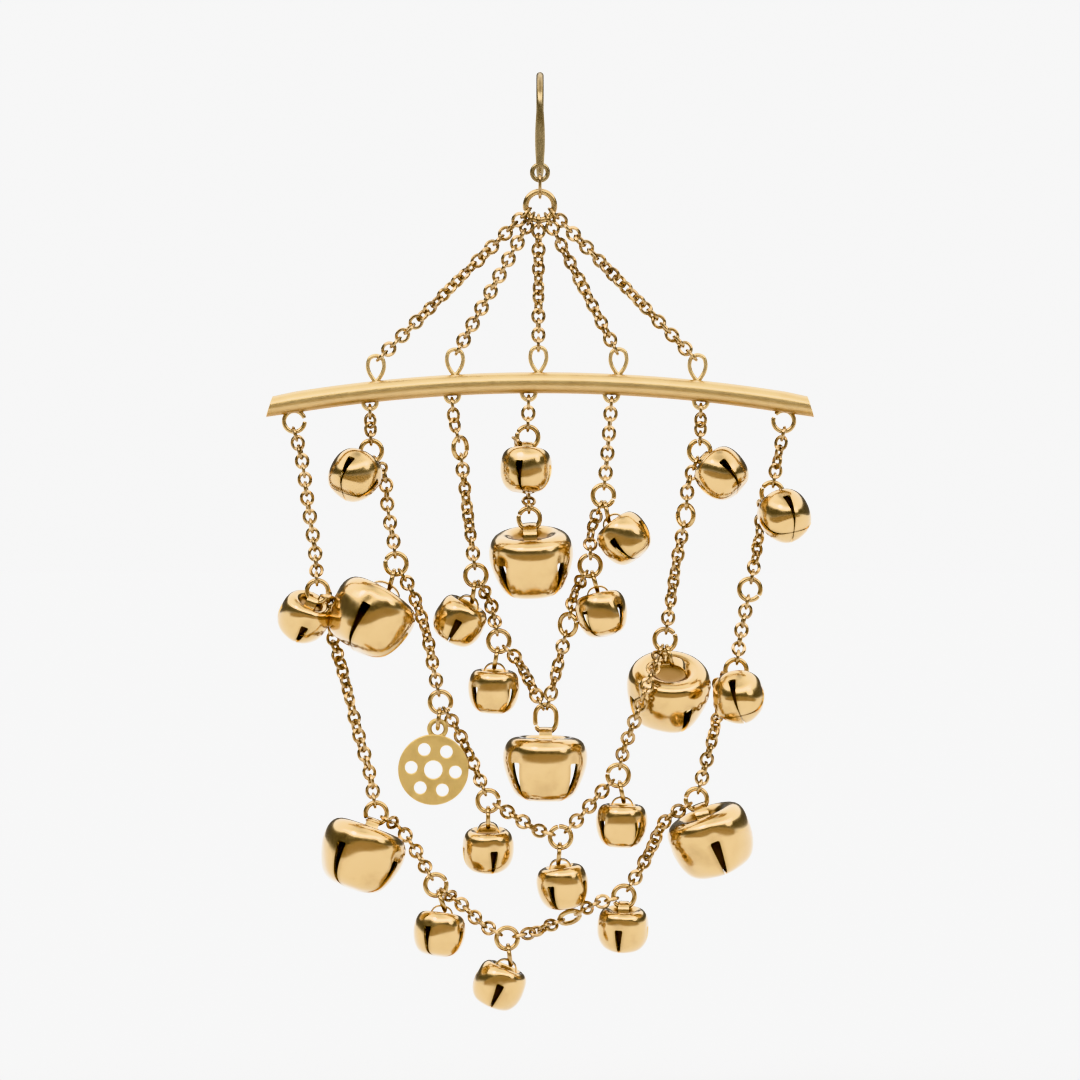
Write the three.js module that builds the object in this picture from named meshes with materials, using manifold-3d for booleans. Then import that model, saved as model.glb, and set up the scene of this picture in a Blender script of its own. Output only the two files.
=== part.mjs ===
// A chandelier earring of gold-coloured brass: a wire ear hook, five fine chains that carry a
// curved bar, three swags and a short centre chain below it, 22 jingle bells and a pierced disc.
// Millimetres, +Z up, the front faces -Y, origin at the inside top of the hook's bend.
import * as THREE from "three";
import { mergeVertices } from "three/addons/utils/BufferGeometryUtils.js";
import Module from "manifold-3d";

const wasm = await Module();
wasm.setup();

// Ear hook and the two rings below it
const HOOK_WIRE = 0.95;
const HOOK_SHANK_WIDTH = 1.25;
const HOOK_BEND_RADIUS = 4;
const HOOK_EYE_DROP = 11.5;
const HOOK_BACK_DROP = 12;
const HOOK_BACK_FLARE = 1.2;
const EYE_OUTSIDE = 2.5;
const EYE_WIRE = 0.6;
const LINK_LENGTH = 3.2;
const LINK_WIDTH = 2.1;
const LINK_WIRE = 0.45;
const TOP_RING_OUTSIDE = 4.25;
const TOP_RING_WIRE = 0.78;
const RUNNING_GAP = 0.12;

// Cable chain: a slim strand with a real link where it meets another piece
const CHAIN_WIDTH = 1.5;
const CHAIN_WIRE = 0.4;
const END_LINK_LENGTH = 2.3;
const END_LINK_WIDTH = 1.9;
const STRAND_NECK = 1.4;

// Curved bar with its soldered eyes, loops and end rings
const BAR_DROP = 21.5;
const BAR_DIAMETER = 2.6;
const BAR_SPAN = 65.8;
const BAR_RISE = 2.9;
const BAR_SLANT = 27;
const TOP_EYE_WIDTH = 2.4;
const TOP_EYE_HEIGHT = 3.3;
const TOP_EYE_WIRE = 0.42;
const LOOP_WIDTH = 2.2;
const LOOP_WIRE = 0.42;
const LOOP_DROP = 1.05;
const END_RING_OUTSIDE = 3.1;
const END_RING_WIRE = 0.57;
const END_RING_SUNK = 0.55;

// Rings of the swags and the jump rings below some of them
const RING_OUTSIDE = 3.2;
const RING_WIRE = 0.55;
const OVAL_RING_LENGTH = 4;
const JUMP_OUTSIDE = 2.8;
const JUMP_WIRE = 0.5;
const BITE = 0.2;

// Bells and the disc
const BELL_SIZES = {
  small: { across: 6.3, tall: 5.3, arch: 1, span: 3, slotWide: 0.8 },
  big: { across: 10.3, tall: 7.9, arch: 1.25, span: 4.4, slotWide: 1.05 },
};
const BELL_WALL = 0.3;
const SLOT_NARROW = 0.26;
const BAIL_WIDTH = 1.1;
const BAIL_THICK = 0.28;
const BAIL_GAP = 0.5;
const DISC_ACROSS = 8.6;
const DISC_THICK = 0.8;
const DISC_HOLES = 6;
const DISC_HOLE_ACROSS = 1.5;
const DISC_CENTRE_HOLE = 2.2;
const DISC_LOOP_OUTSIDE = 2.6;
const DISC_LOOP_WIRE = 0.6;

// Where along the bar its parts sit, as shares of the span, from left to right
const TOP_EYE_PLACES = [-0.303, -0.157, -0.003, 0.145, 0.291];
const LOOP_PLACES = {
  middleLeft: -0.314,
  innerLeft: -0.162,
  centre: -0.021,
  innerRight: 0.132,
  middleRight: 0.297,
};
const END_RING_PLACES = { outerLeft: -0.4535, outerRight: 0.45 };
const FAN_ANGLES = [-65, -36, -6, 31, 62];

// Chosen points of the chains that hang from the bar, in mm from the bar's centre: x to the right,
// z up, back away from the viewer. A point with a ring is that ring's centre.
const CHAIN_ROUTES = {
  swag_outer: [
    { x: -29.0, z: -9.0 },
    { x: -28.2, z: -14.7 },
    { x: -27.3, z: -20.9 },
    { x: -27.0, z: -25.3, back: -1.6, ring: "o1" },
    { x: -25.4, z: -26.2, back: 1.3 },
    { x: -25.4, z: -28.4, back: 2.7 },
    { x: -25.2, z: -31.0, back: 2.6 },
    { x: -24.1, z: -34.7, back: 0.8 },
    { x: -22.3, z: -41.8 },
    { x: -20.7, z: -47.5 },
    { x: -19.9, z: -52.3, ring: "o2" },
    { x: -17.2, z: -54.0, back: 1.8 },
    { x: -15.5, z: -56.3, back: 1.6 },
    { x: -12.65, z: -61.0, back: -0.6, ring: "o3" },
    { x: -9.6, z: -63.4, back: 1.8 },
    { x: -7.0, z: -65.8, back: 1.0 },
    { x: -4.0, z: -67.5, ring: "o4" },
    { x: -0.6, z: -66.7 },
    { x: 3.6, z: -65.0, back: 1.7 },
    { x: 7.0, z: -63.2 },
    { x: 10.2, z: -62.4, ring: "o6" },
    { x: 12.0, z: -59.4 },
    { x: 13.6, z: -56.4 },
    { x: 15.2, z: -53.2, back: -0.8 },
    { x: 19.0, z: -50.6, ring: "o7" },
    { x: 20.0, z: -46.8 },
    { x: 21.1, z: -42.6 },
    { x: 21.9, z: -38.8, back: 2.6 },
    { x: 21.8, z: -36.4, back: 2.0 },
    { x: 23.8, z: -34.9, back: -1, ring: "o8" },
    { x: 24.4, z: -30.5 },
    { x: 25.5, z: -25.1 },
    { x: 26.2, z: -21.2, back: 0.8 },
    { x: 26.8, z: -17.6, back: 2.5 },
    { x: 26.8, z: -15.4, back: 2.1 },
    { x: 28.2, z: -13.4, ring: "o10" },
    { x: 28.8, z: -9.6 },
  ],
  swag_middle: [
    { x: -20.6, z: -5.6 },
    { x: -20.5, z: -8.3, ring: "m1" },
    { x: -18.9, z: -11.4, back: 1.6 },
    { x: -18.5, z: -15.4, back: 0.8 },
    { x: -17.8, z: -19.3 },
    { x: -17.5, z: -22.0, ring: "m2" },
    { x: -15.5, z: -25.5 },
    { x: -13.9, z: -30.1 },
    { x: -12.8, z: -35.4 },
    { x: -12.1, z: -38.8, ring: "m3" },
    { x: -10.0, z: -42.3, back: 1.2 },
    { x: -8.9, z: -44.6, back: 1.7 },
    { x: -7.9, z: -46.8, back: 1.3 },
    { x: -6.3, z: -50.8, ring: "m4" },
    { x: -3.5, z: -52.4 },
    { x: -0.4, z: -54.3 },
    { x: 2.5, z: -55.2, ring: "m5" },
    { x: 5.2, z: -52.4 },
    { x: 7.3, z: -49.9 },
    { x: 9.5, z: -47.7, ring: "m6" },
    { x: 10.1, z: -44.8, back: -0.8 },
    { x: 11.9, z: -39.8, back: -3.1 },
    { x: 13.5, z: -35.2, back: -3.2 },
    { x: 15.2, z: -31.2, ring: "m7" },
    { x: 15.8, z: -27.0 },
    { x: 16.5, z: -22.4 },
    { x: 17.7, z: -16.1 },
    { x: 18.0, z: -12.4 },
    { x: 19.4, z: -8.3, ring: "m9" },
    { x: 19.5, z: -5.6 },
  ],
  swag_inner: [
    { x: -10.4, z: -4.9 },
    { x: -9.7, z: -7.9 },
    { x: -9.2, z: -12.3 },
    { x: -8.6, z: -17.3 },
    { x: -7.8, z: -23.4, ring: "i2" },
    { x: -6.0, z: -26.9, back: 1.7 },
    { x: -5.0, z: -31.4, ring: "i3" },
    { x: -2.9, z: -33.5, back: 0.3 },
    { x: -1.0, z: -36.9, back: 0.2 },
    { x: 0.7, z: -40.8, ring: "i4", oval: true },
    { x: 2.1, z: -34.7 },
    { x: 3.4, z: -29.4, back: 0.6 },
    { x: 4.3, z: -25.3, back: 1.8 },
    { x: 6.1, z: -22.2, ring: "i6" },
    { x: 6.2, z: -18.2, back: 1.4 },
    { x: 7.7, z: -13.7, ring: "i7" },
    { x: 8.1, z: -9.6 },
    { x: 8.4, z: -5.9 },
  ],
  centre_chain: [
    { x: -1.5, z: -6.6, ring: "c1" },
    { x: -2.8, z: -7.1, back: 2.2 },
    { x: -2.1, z: -8.9, back: 3.5 },
    { x: -1.7, z: -11.2, back: 3.6 },
    { x: -1.4, z: -13.8, back: 1.9 },
    { x: -1.3, z: -16.5, ring: "c2" },
  ],
};

// What hangs from each ring: jump is the jump ring's lean where there is one, roll the bell's lean
// to the left, pitch its top's lean to the viewer and turn the place of its slots, all in degrees
const PENDANTS = [
  { name: "small_bell_01", size: "small", ring: "m1", roll: 34, pitch: -28, turn: -28 },
  { name: "small_bell_02", size: "small", ring: "c1", roll: 3, pitch: -12, turn: -16 },
  { name: "small_bell_03", size: "small", ring: "i7", jump: 12, roll: -37, pitch: -8, turn: -26 },
  { name: "small_bell_04", size: "small", ring: "m9", roll: -44, pitch: -16, turn: 20 },
  { name: "small_bell_05", size: "small", ring: "o10", roll: -28, pitch: -40, turn: 24 },
  { name: "small_bell_06", size: "small", ring: "o1", roll: 28, pitch: 28, turn: 14 },
  { name: "small_bell_07", size: "small", ring: "i2", jump: -8, roll: 29, pitch: 8, turn: 0 },
  { name: "small_bell_08", size: "small", ring: "i3", jump: -10, roll: 3, pitch: 5, turn: 42 },
  { name: "small_bell_09", size: "small", ring: "i6", jump: 16, roll: -12, pitch: -6, turn: -42 },
  { name: "small_bell_10", size: "small", ring: "o8", roll: -5, pitch: -38, turn: -13 },
  { name: "small_bell_11", size: "small", ring: "m4", jump: 0, roll: 0, pitch: 13, turn: 14 },
  { name: "small_bell_12", size: "small", ring: "m5", jump: -5, roll: -8, pitch: 6, turn: -28 },
  { name: "small_bell_13", size: "small", ring: "m6", jump: 12, roll: 2, pitch: 3, turn: 40 },
  { name: "small_bell_14", size: "small", ring: "o3", jump: 20, roll: 8, pitch: -6, turn: -28 },
  { name: "small_bell_15", size: "small", ring: "o4", jump: 8, roll: 23, pitch: 5, turn: 3 },
  { name: "small_bell_16", size: "small", ring: "o6", roll: 2, pitch: 12, turn: -10 },
  { name: "big_bell_1", size: "big", ring: "c2", roll: -3, pitch: 16, turn: 45 },
  { name: "big_bell_2", size: "big", ring: "m2", jump: -15, roll: 31, pitch: -10, turn: -14 },
  { name: "big_bell_3", size: "big", ring: "i4", roll: 1, pitch: 3, turn: 45 },
  { name: "big_bell_4", size: "big", ring: "m7", jump: 16, roll: 4, pitch: 34, turn: 30 },
  { name: "big_bell_5", size: "big", ring: "o2", roll: 20, pitch: -4, turn: -32 },
  { name: "big_bell_6", size: "big", ring: "o7", roll: -21, pitch: 9, turn: 2 },
];
const DISC = { ring: "m3", jump: -6, roll: 6 };

// A bell's outline as shares of its radius and height, from the recess in its top to its pole
const BELL_RECESS = 0.13;
const BELL_OUTLINE = [
  { out: 0, down: BELL_RECESS },
  { out: 0.54, down: 0 },
  { out: 0.98, down: 0.2 },
  { out: 0.96, down: 0.52 },
  { out: 0.62, down: 0.91 },
  { out: 0, down: 1 },
];
const BELL_CAVITY = [
  { out: 0, down: 0.15 },
  { out: 0.95, down: 0.2 },
  { out: 0.93, down: 0.5 },
  { out: 0.58, down: 0.92 },
  { out: 0, down: 1 },
];
const BELL_SIDES = 12;
const CAVITY_SIDES = 8;
const BELL_SLOT_TOP = 0.4;

const brass = new THREE.MeshStandardMaterial({ color: 0xc9a868, metalness: 1, roughness: 0.3 });
const satinBrass = new THREE.MeshStandardMaterial({ color: 0xd2b06a, metalness: 1, roughness: 0.42 });
const chainBrass = new THREE.MeshStandardMaterial({ color: 0xb08a40, metalness: 1, roughness: 0.32 });
const mattBrass = new THREE.MeshStandardMaterial({ color: 0xbba04a, metalness: 1, roughness: 0.5 });
const darkBrass = new THREE.MeshStandardMaterial({ color: 0x8d7440, metalness: 1, roughness: 0.35 });

const FORWARD = new THREE.Vector3(0, -1, 0);
const SIDEWAYS = new THREE.Vector3(1, 0, 0);
const degrees = THREE.MathUtils.degToRad;

// Gives the geometry shared vertices, no collapsed faces and faces that point out
function closed(geometry) {
  const bare = geometry.clone();
  bare.deleteAttribute("normal");
  bare.deleteAttribute("uv");
  const merged = mergeVertices(bare, 1e-4);
  const index = merged.index.array;
  const faces = [];
  for (let i = 0; i < index.length; i += 3) {
    const [a, b, c] = [index[i], index[i + 1], index[i + 2]];
    if (a !== b && b !== c && c !== a) faces.push([a, b, c]);
  }
  const position = merged.attributes.position;
  const corners = [new THREE.Vector3(), new THREE.Vector3(), new THREE.Vector3()];
  const volume = faces.reduce((sum, face) => {
    face.forEach((vertex, i) => corners[i].fromBufferAttribute(position, vertex));
    return sum + corners[0].dot(corners[1].clone().cross(corners[2]));
  }, 0);
  if (volume < 0) faces.forEach((face) => face.reverse());
  merged.setIndex(faces.flat());
  return merged;
}

function solid(geometry) {
  const mesh = closed(geometry);
  return new wasm.Manifold(new wasm.Mesh({
    numProp: 3,
    vertProperties: mesh.attributes.position.array,
    triVerts: Uint32Array.from(mesh.index.array),
  }));
}

function geometryOf(body) {
  const mesh = body.getMesh();
  const geometry = new THREE.BufferGeometry();
  const corners = new THREE.BufferAttribute(Float32Array.from(mesh.vertProperties), 3);
  geometry.setAttribute("position", corners);
  geometry.setIndex(Array.from(mesh.triVerts));
  geometry.computeVertexNormals();
  return geometry;
}

function joined(geometries) {
  return geometries.map(solid).reduce((body, piece) => body.add(piece));
}

function named(name, geometry, material) {
  const mesh = new THREE.Mesh(geometry, material);
  mesh.name = name;
  return mesh;
}

// A wire ring in the XZ plane, drawn out to a link when its length is more than its width
function ringGeometry(length, width, wire, sides = 10) {
  const ring = new THREE.TorusGeometry((width - wire) / 2, wire / 2, 5, sides);
  ring.rotateZ(Math.PI / sides);
  const stretch = (length - width) / 2;
  const position = ring.attributes.position;
  for (let i = 0; i < position.count; i += 1) {
    position.setY(i, position.getY(i) + Math.sign(position.getY(i)) * stretch);
  }
  return ring.rotateX(Math.PI / 2);
}

// A wire whose radius changes at stations of distance and radius along a curve
function wireAlong(curve, stations, sides, reference) {
  const length = curve.getLength();
  const last = stations.at(-1);
  const profile = [new THREE.Vector2(0, stations[0].at)];
  stations.forEach(({ at, radius }) => profile.push(new THREE.Vector2(radius, at)));
  profile.push(new THREE.Vector2(0, last.at));
  const wire = new THREE.LatheGeometry(profile, sides);
  const position = wire.attributes.position;
  const place = new THREE.Vector3();
  for (let i = 0; i < position.count; i += 1) {
    place.fromBufferAttribute(position, i);
    const share = THREE.MathUtils.clamp(place.y / length, 0, 1);
    const tangent = curve.getTangentAt(share);
    const side = reference.clone().cross(tangent).normalize();
    const front = tangent.clone().cross(side);
    const point = curve.getPointAt(share);
    point.addScaledVector(side, place.x).addScaledVector(front, place.z);
    position.setXYZ(i, point.x, point.y, point.z);
  }
  return wire;
}

// A run of chain between two points, thin at both ends where its last links wrap other metal
function strandGeometry(points) {
  const curve = new THREE.CatmullRomCurve3(points, false, "centripetal");
  const finesse = 12;
  const lengths = curve.getLengths(finesse * (points.length - 1));
  const length = lengths.at(-1);
  const thin = CHAIN_WIRE / 4;
  const full = CHAIN_WIDTH / 2;
  const neck = Math.min(STRAND_NECK, length / 4);
  const bends = points.map((_, i) => lengths[finesse * i])
    .filter((at) => at > 1.5 * neck && at < length - 1.5 * neck);
  const stations = [{ at: 0, radius: thin }, { at: neck, radius: full }];
  bends.forEach((at) => stations.push({ at, radius: full }));
  stations.push({ at: length - neck, radius: full }, { at: length, radius: thin });
  return wireAlong(curve, stations, 5, FORWARD);
}

// The ear hook: a flattened front shank with an eye, the bend and a plain back leg
const frontY = -(HOOK_BEND_RADIUS + HOOK_WIRE / 2);
const eyeCentreZ = -HOOK_EYE_DROP;
function earHook() {
  const bendCentreZ = -HOOK_BEND_RADIUS;
  const bendSteps = 8;
  const points = [new THREE.Vector3(0, frontY, eyeCentreZ + (EYE_OUTSIDE - EYE_WIRE) / 2)];
  points.push(new THREE.Vector3(0, frontY, (eyeCentreZ + bendCentreZ) / 2));
  for (let i = 0; i <= bendSteps; i += 1) {
    const angle = (Math.PI * i) / bendSteps;
    const along = new THREE.Vector3(0, -Math.cos(angle), Math.sin(angle)).multiplyScalar(-frontY);
    points.push(along.add(new THREE.Vector3(0, 0, bendCentreZ)));
  }
  const backY = -frontY + HOOK_BACK_FLARE;
  points.push(new THREE.Vector3(0, -frontY, bendCentreZ + (-HOOK_BACK_DROP - bendCentreZ) / 2));
  points.push(new THREE.Vector3(0, backY, -HOOK_BACK_DROP));
  const curve = new THREE.CatmullRomCurve3(points, false, "centripetal");
  const length = curve.getLength();
  const steps = 16;
  const stations = [];
  for (let i = 0; i <= steps; i += 1) {
    stations.push({ at: (length * i) / steps, radius: HOOK_WIRE / 2 });
  }
  const wire = wireAlong(curve, stations, 8, SIDEWAYS);
  const position = wire.attributes.position;
  const shankLength = -eyeCentreZ + bendCentreZ;
  for (let i = 0; i < position.count; i += 1) {
    const below = THREE.MathUtils.clamp((bendCentreZ - position.getZ(i)) / shankLength, 0, 1);
    const widening = position.getY(i) < 0 ? Math.sin(Math.PI * Math.min(below * 1.1, 1)) : 0;
    position.setX(i, position.getX(i) * (1 + (HOOK_SHANK_WIDTH / HOOK_WIRE - 1) * widening));
  }
  const eye = ringGeometry(EYE_OUTSIDE, EYE_OUTSIDE, EYE_WIRE, 12).translate(0, frontY, eyeCentreZ);
  return joined([wire, eye]);
}

// The link hangs in the hook's eye and the top ring hangs in the link
const linkTopZ = eyeCentreZ - EYE_OUTSIDE / 2 + EYE_WIRE + RUNNING_GAP + LINK_WIRE;
const linkCentreZ = linkTopZ - LINK_LENGTH / 2;
const ringTopZ = linkTopZ - LINK_LENGTH + LINK_WIRE + RUNNING_GAP + TOP_RING_WIRE;
const topRingZ = ringTopZ - TOP_RING_OUTSIDE / 2;

// Height of the bar's centre line below its middle
const barRadius = (BAR_SPAN ** 2 / 4 + BAR_RISE ** 2) / (2 * BAR_RISE);
function barHeight(x) {
  return Math.sqrt(barRadius ** 2 - x ** 2) - barRadius;
}

const loopCentre = (x) => barHeight(x) - BAR_DIAMETER / 2 - LOOP_DROP + LOOP_WIDTH / 2;
const endRingCentre = (x) => barHeight(x) - BAR_DIAMETER / 2 + END_RING_SUNK - END_RING_OUTSIDE / 2;
const topEyeCentre = (x) => barHeight(x) + BAR_DIAMETER / 2 + TOP_EYE_HEIGHT - TOP_EYE_WIDTH / 2;

function bar() {
  const steps = 12;
  const half = BAR_SPAN / 2;
  const points = [];
  for (let i = 0; i <= steps; i += 1) {
    const x = half * ((2 * i) / steps - 1);
    points.push(new THREE.Vector3(x, 0, barHeight(x)));
  }
  const curve = new THREE.CatmullRomCurve3(points);
  const length = curve.getLength();
  const stations = points.map((_, i) => ({ at: (length * i) / steps, radius: BAR_DIAMETER / 2 }));
  const rod = wireAlong(curve, stations, 10, FORWARD);
  const slant = Math.tan(degrees(BAR_SLANT));
  const position = rod.attributes.position;
  for (let i = 0; i < position.count; i += 1) {
    const x = position.getX(i);
    const above = position.getZ(i) - barHeight(x);
    if (Math.abs(x) > half - BAR_DIAMETER / 2) position.setX(i, x - Math.sign(x) * above * slant);
  }
  const pieces = [rod];
  TOP_EYE_PLACES.forEach((share) => {
    const x = share * BAR_SPAN;
    const sunk = TOP_EYE_WIRE;
    const eye = ringGeometry(TOP_EYE_HEIGHT + sunk, TOP_EYE_WIDTH, TOP_EYE_WIRE);
    pieces.push(eye.translate(x, 0, barHeight(x) + (BAR_DIAMETER + TOP_EYE_HEIGHT - sunk) / 2));
  });
  Object.values(LOOP_PLACES).forEach((share) => {
    const x = share * BAR_SPAN;
    pieces.push(ringGeometry(LOOP_WIDTH, LOOP_WIDTH, LOOP_WIRE).translate(x, 0, loopCentre(x)));
  });
  Object.values(END_RING_PLACES).forEach((share) => {
    const x = share * BAR_SPAN;
    const ring = ringGeometry(END_RING_OUTSIDE, END_RING_OUTSIDE, END_RING_WIRE);
    pieces.push(ring.translate(x, 0, endRingCentre(x)));
  });
  return joined(pieces);
}

// A link that wraps a wire at a place and points away from it, seen from its edge
function endLink(holder, direction, wrappedWire) {
  const link = ringGeometry(END_LINK_LENGTH, END_LINK_WIDTH, CHAIN_WIRE).rotateZ(Math.PI / 2);
  const reach = END_LINK_LENGTH / 2 - CHAIN_WIRE - RUNNING_GAP - wrappedWire / 2;
  const turn = new THREE.Quaternion().setFromUnitVectors(new THREE.Vector3(0, 0, -1), direction);
  const centre = holder.clone().addScaledVector(direction, reach);
  link.applyQuaternion(turn).translate(centre.x, centre.y, centre.z);
  const farWire = reach + (END_LINK_LENGTH - CHAIN_WIRE) / 2;
  return { link, end: holder.clone().addScaledVector(direction, farWire) };
}

// One of the five chains from the top ring to the bar, in the top ring's frame
function hangerChain(number) {
  const angle = degrees(FAN_ANGLES[number]);
  const outward = new THREE.Vector3(Math.sin(angle), 0, -Math.cos(angle));
  const ringRadius = (TOP_RING_OUTSIDE - TOP_RING_WIRE) / 2;
  const top = endLink(outward.clone().multiplyScalar(ringRadius), outward, TOP_RING_WIRE);
  const x = TOP_EYE_PLACES[number] * BAR_SPAN;
  const eye = new THREE.Vector3(x, 0, topEyeCentre(x) - BAR_DROP);
  const upward = top.end.clone().sub(eye).normalize();
  const holder = eye.clone().addScaledVector(upward, (TOP_EYE_WIDTH - TOP_EYE_WIRE) / 2);
  const bottom = endLink(holder, upward, TOP_EYE_WIRE);
  return joined([top.link, strandGeometry([top.end, bottom.end]), bottom.link]);
}

const pointOf = ({ x, z, back = 0 }) => new THREE.Vector3(x, back, z);

// The point on a ring's wire that faces another point
function ringEdge(row, target) {
  const toward = target.clone().sub(pointOf(row)).setY(0).normalize();
  const edge = toward.clone().multiplyScalar((RING_OUTSIDE - RING_WIRE) / 2);
  if (row.oval) edge.z += Math.sign(toward.z) * (OVAL_RING_LENGTH - RING_OUTSIDE) / 2;
  return pointOf(row).add(edge);
}

// Direction of a hanging piece that leans by an angle, down and to the left where it is positive
function hangDirection(lean) {
  return new THREE.Vector3(-Math.sin(degrees(lean)), 0, -Math.cos(degrees(lean)));
}

const jumpDrop = (RING_OUTSIDE - RING_WIRE) / 2 + (JUMP_OUTSIDE - JUMP_WIRE) / 2
  - (RING_WIRE + JUMP_WIRE) / 2 + BITE;
const ringRows = Object.fromEntries(
  Object.values(CHAIN_ROUTES).flat().filter((row) => row.ring).map((row) => [row.ring, row]),
);

// A ring's stretch beyond a round one, which moves what hangs in it down
const ovalDrop = (row) => (row.oval ? (OVAL_RING_LENGTH - RING_OUTSIDE) / 2 : 0);

// A chain from one loop of the bar to another, its rings and its jump rings, in the bar's frame
function swag(route, startHolder, endHolder) {
  const pieces = [];
  const via = route.map(pointOf);
  let from = null;
  if (startHolder) {
    const away = via[0].clone().sub(startHolder.at).normalize();
    const start = endLink(startHolder.at, away, startHolder.wire);
    pieces.push(start.link);
    from = start.end;
  }
  let run = from ? [from] : [];
  route.forEach((row, i) => {
    if (!row.ring) {
      run.push(via[i]);
      return;
    }
    run.push(ringEdge(row, run.at(-1)));
    pieces.push(strandGeometry(run));
    const length = row.oval ? OVAL_RING_LENGTH : RING_OUTSIDE;
    pieces.push(ringGeometry(length, RING_OUTSIDE, RING_WIRE).translate(row.x, row.back ?? 0, row.z));
    run = via[i + 1] ? [ringEdge(row, via[i + 1])] : [];
  });
  if (endHolder) {
    const away = run.length ? via.at(-1) : pointOf(route.at(-1));
    const end = endLink(endHolder.at, away.clone().sub(endHolder.at).normalize(), endHolder.wire);
    pieces.push(end.link);
    if (!run.length) run = [ringEdge(route.at(-1), end.end)];
    pieces.push(strandGeometry([...run, end.end]));
  }
  [...PENDANTS, DISC].filter(({ ring, jump }) => jump !== undefined && route.includes(ringRows[ring]))
    .forEach(({ ring, jump }) => {
      const centre = pointOf(ringRows[ring]).addScaledVector(hangDirection(-jump), jumpDrop);
      const jumpRing = ringGeometry(JUMP_OUTSIDE, JUMP_OUTSIDE, JUMP_WIRE).rotateZ(Math.PI / 2);
      jumpRing.rotateY(degrees(-jump)).translate(centre.x, centre.y, centre.z);
      pieces.push(jumpRing);
    });
  return joined(pieces);
}

// Where the arch of a bail rests, for a piece that hangs by a ring or by its jump ring
function hangPoint({ ring, jump, roll }) {
  const row = ringRows[ring];
  const hasJump = jump !== undefined;
  const down = hangDirection(hasJump ? -jump : roll);
  const centre = pointOf(row);
  if (hasJump) centre.addScaledVector(down, jumpDrop);
  else centre.z -= ovalDrop(row);
  const inside = hasJump ? JUMP_OUTSIDE / 2 - JUMP_WIRE : RING_OUTSIDE / 2 - RING_WIRE;
  return centre.addScaledVector(down, inside - BAIL_GAP);
}

const hangTurn = (roll, pitch) => new THREE.Euler(degrees(pitch), degrees(roll), 0, "YXZ");

// A hollow bell with four tapered slots that cross below, and a strip bail bent in an arch; its
// origin is under the top of the arch
function bell(size, turn, archTurned) {
  const { across, tall, arch, span, slotWide } = BELL_SIZES[size];
  const radius = across / 2;
  const outline = BELL_OUTLINE.map(({ out, down }) => new THREE.Vector2(out * radius, -down * tall));
  const cavity = BELL_CAVITY.map(({ out, down }) => {
    return new THREE.Vector2(out * (radius - BELL_WALL), -BELL_WALL - down * (tall - 2 * BELL_WALL));
  });
  let shell = solid(new THREE.LatheGeometry(outline, BELL_SIDES).rotateX(Math.PI / 2));
  shell = shell.subtract(solid(new THREE.LatheGeometry(cavity, CAVITY_SIDES).rotateX(Math.PI / 2)));
  const slotTopZ = -BELL_SLOT_TOP * tall;
  const slotEndZ = -tall - BELL_WALL;
  const slot = new THREE.Shape([
    new THREE.Vector2(-slotWide / 2, slotTopZ),
    new THREE.Vector2(-SLOT_NARROW / 2, slotEndZ),
    new THREE.Vector2(SLOT_NARROW / 2, slotEndZ),
    new THREE.Vector2(slotWide / 2, slotTopZ),
  ]);
  [0, 90].forEach((quarter) => {
    const depth = across + 2 * BELL_WALL;
    const cutter = new THREE.ExtrudeGeometry(slot, { depth, bevelEnabled: false });
    cutter.translate(0, 0, -depth / 2).rotateX(Math.PI / 2).rotateZ(degrees(quarter));
    shell = shell.subtract(solid(cutter));
  });
  const archSteps = 3;
  const floorDepth = arch + BELL_RECESS * tall;
  const foot = -floorDepth - BELL_WALL / 2;
  const outer = [];
  const inner = [];
  for (let i = 0; i <= archSteps; i += 1) {
    const angle = (Math.PI * i) / archSteps;
    const lift = Math.sin(angle) / Math.sin(Math.PI / archSteps);
    const sideways = Math.cos(angle);
    const outerZ = BAIL_THICK + (lift - 1) * (floorDepth + BAIL_THICK);
    outer.push(new THREE.Vector2(sideways * (span / 2), outerZ));
    inner.push(new THREE.Vector2(sideways * (span / 2 - BAIL_THICK), (lift - 1) * floorDepth));
  }
  const band = new THREE.Shape([
    new THREE.Vector2(span / 2, foot),
    ...outer,
    new THREE.Vector2(-span / 2, foot),
    new THREE.Vector2(-span / 2 + BAIL_THICK, foot),
    ...inner.reverse(),
    new THREE.Vector2(span / 2 - BAIL_THICK, foot),
  ]);
  const bail = new THREE.ExtrudeGeometry(band, { depth: BAIL_WIDTH, bevelEnabled: false });
  bail.translate(0, 0, -BAIL_WIDTH / 2).rotateX(Math.PI / 2);
  if (archTurned) bail.rotateZ(Math.PI / 2);
  return shell.rotate([0, 0, turn]).translate([0, 0, -arch]).add(solid(bail));
}

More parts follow.
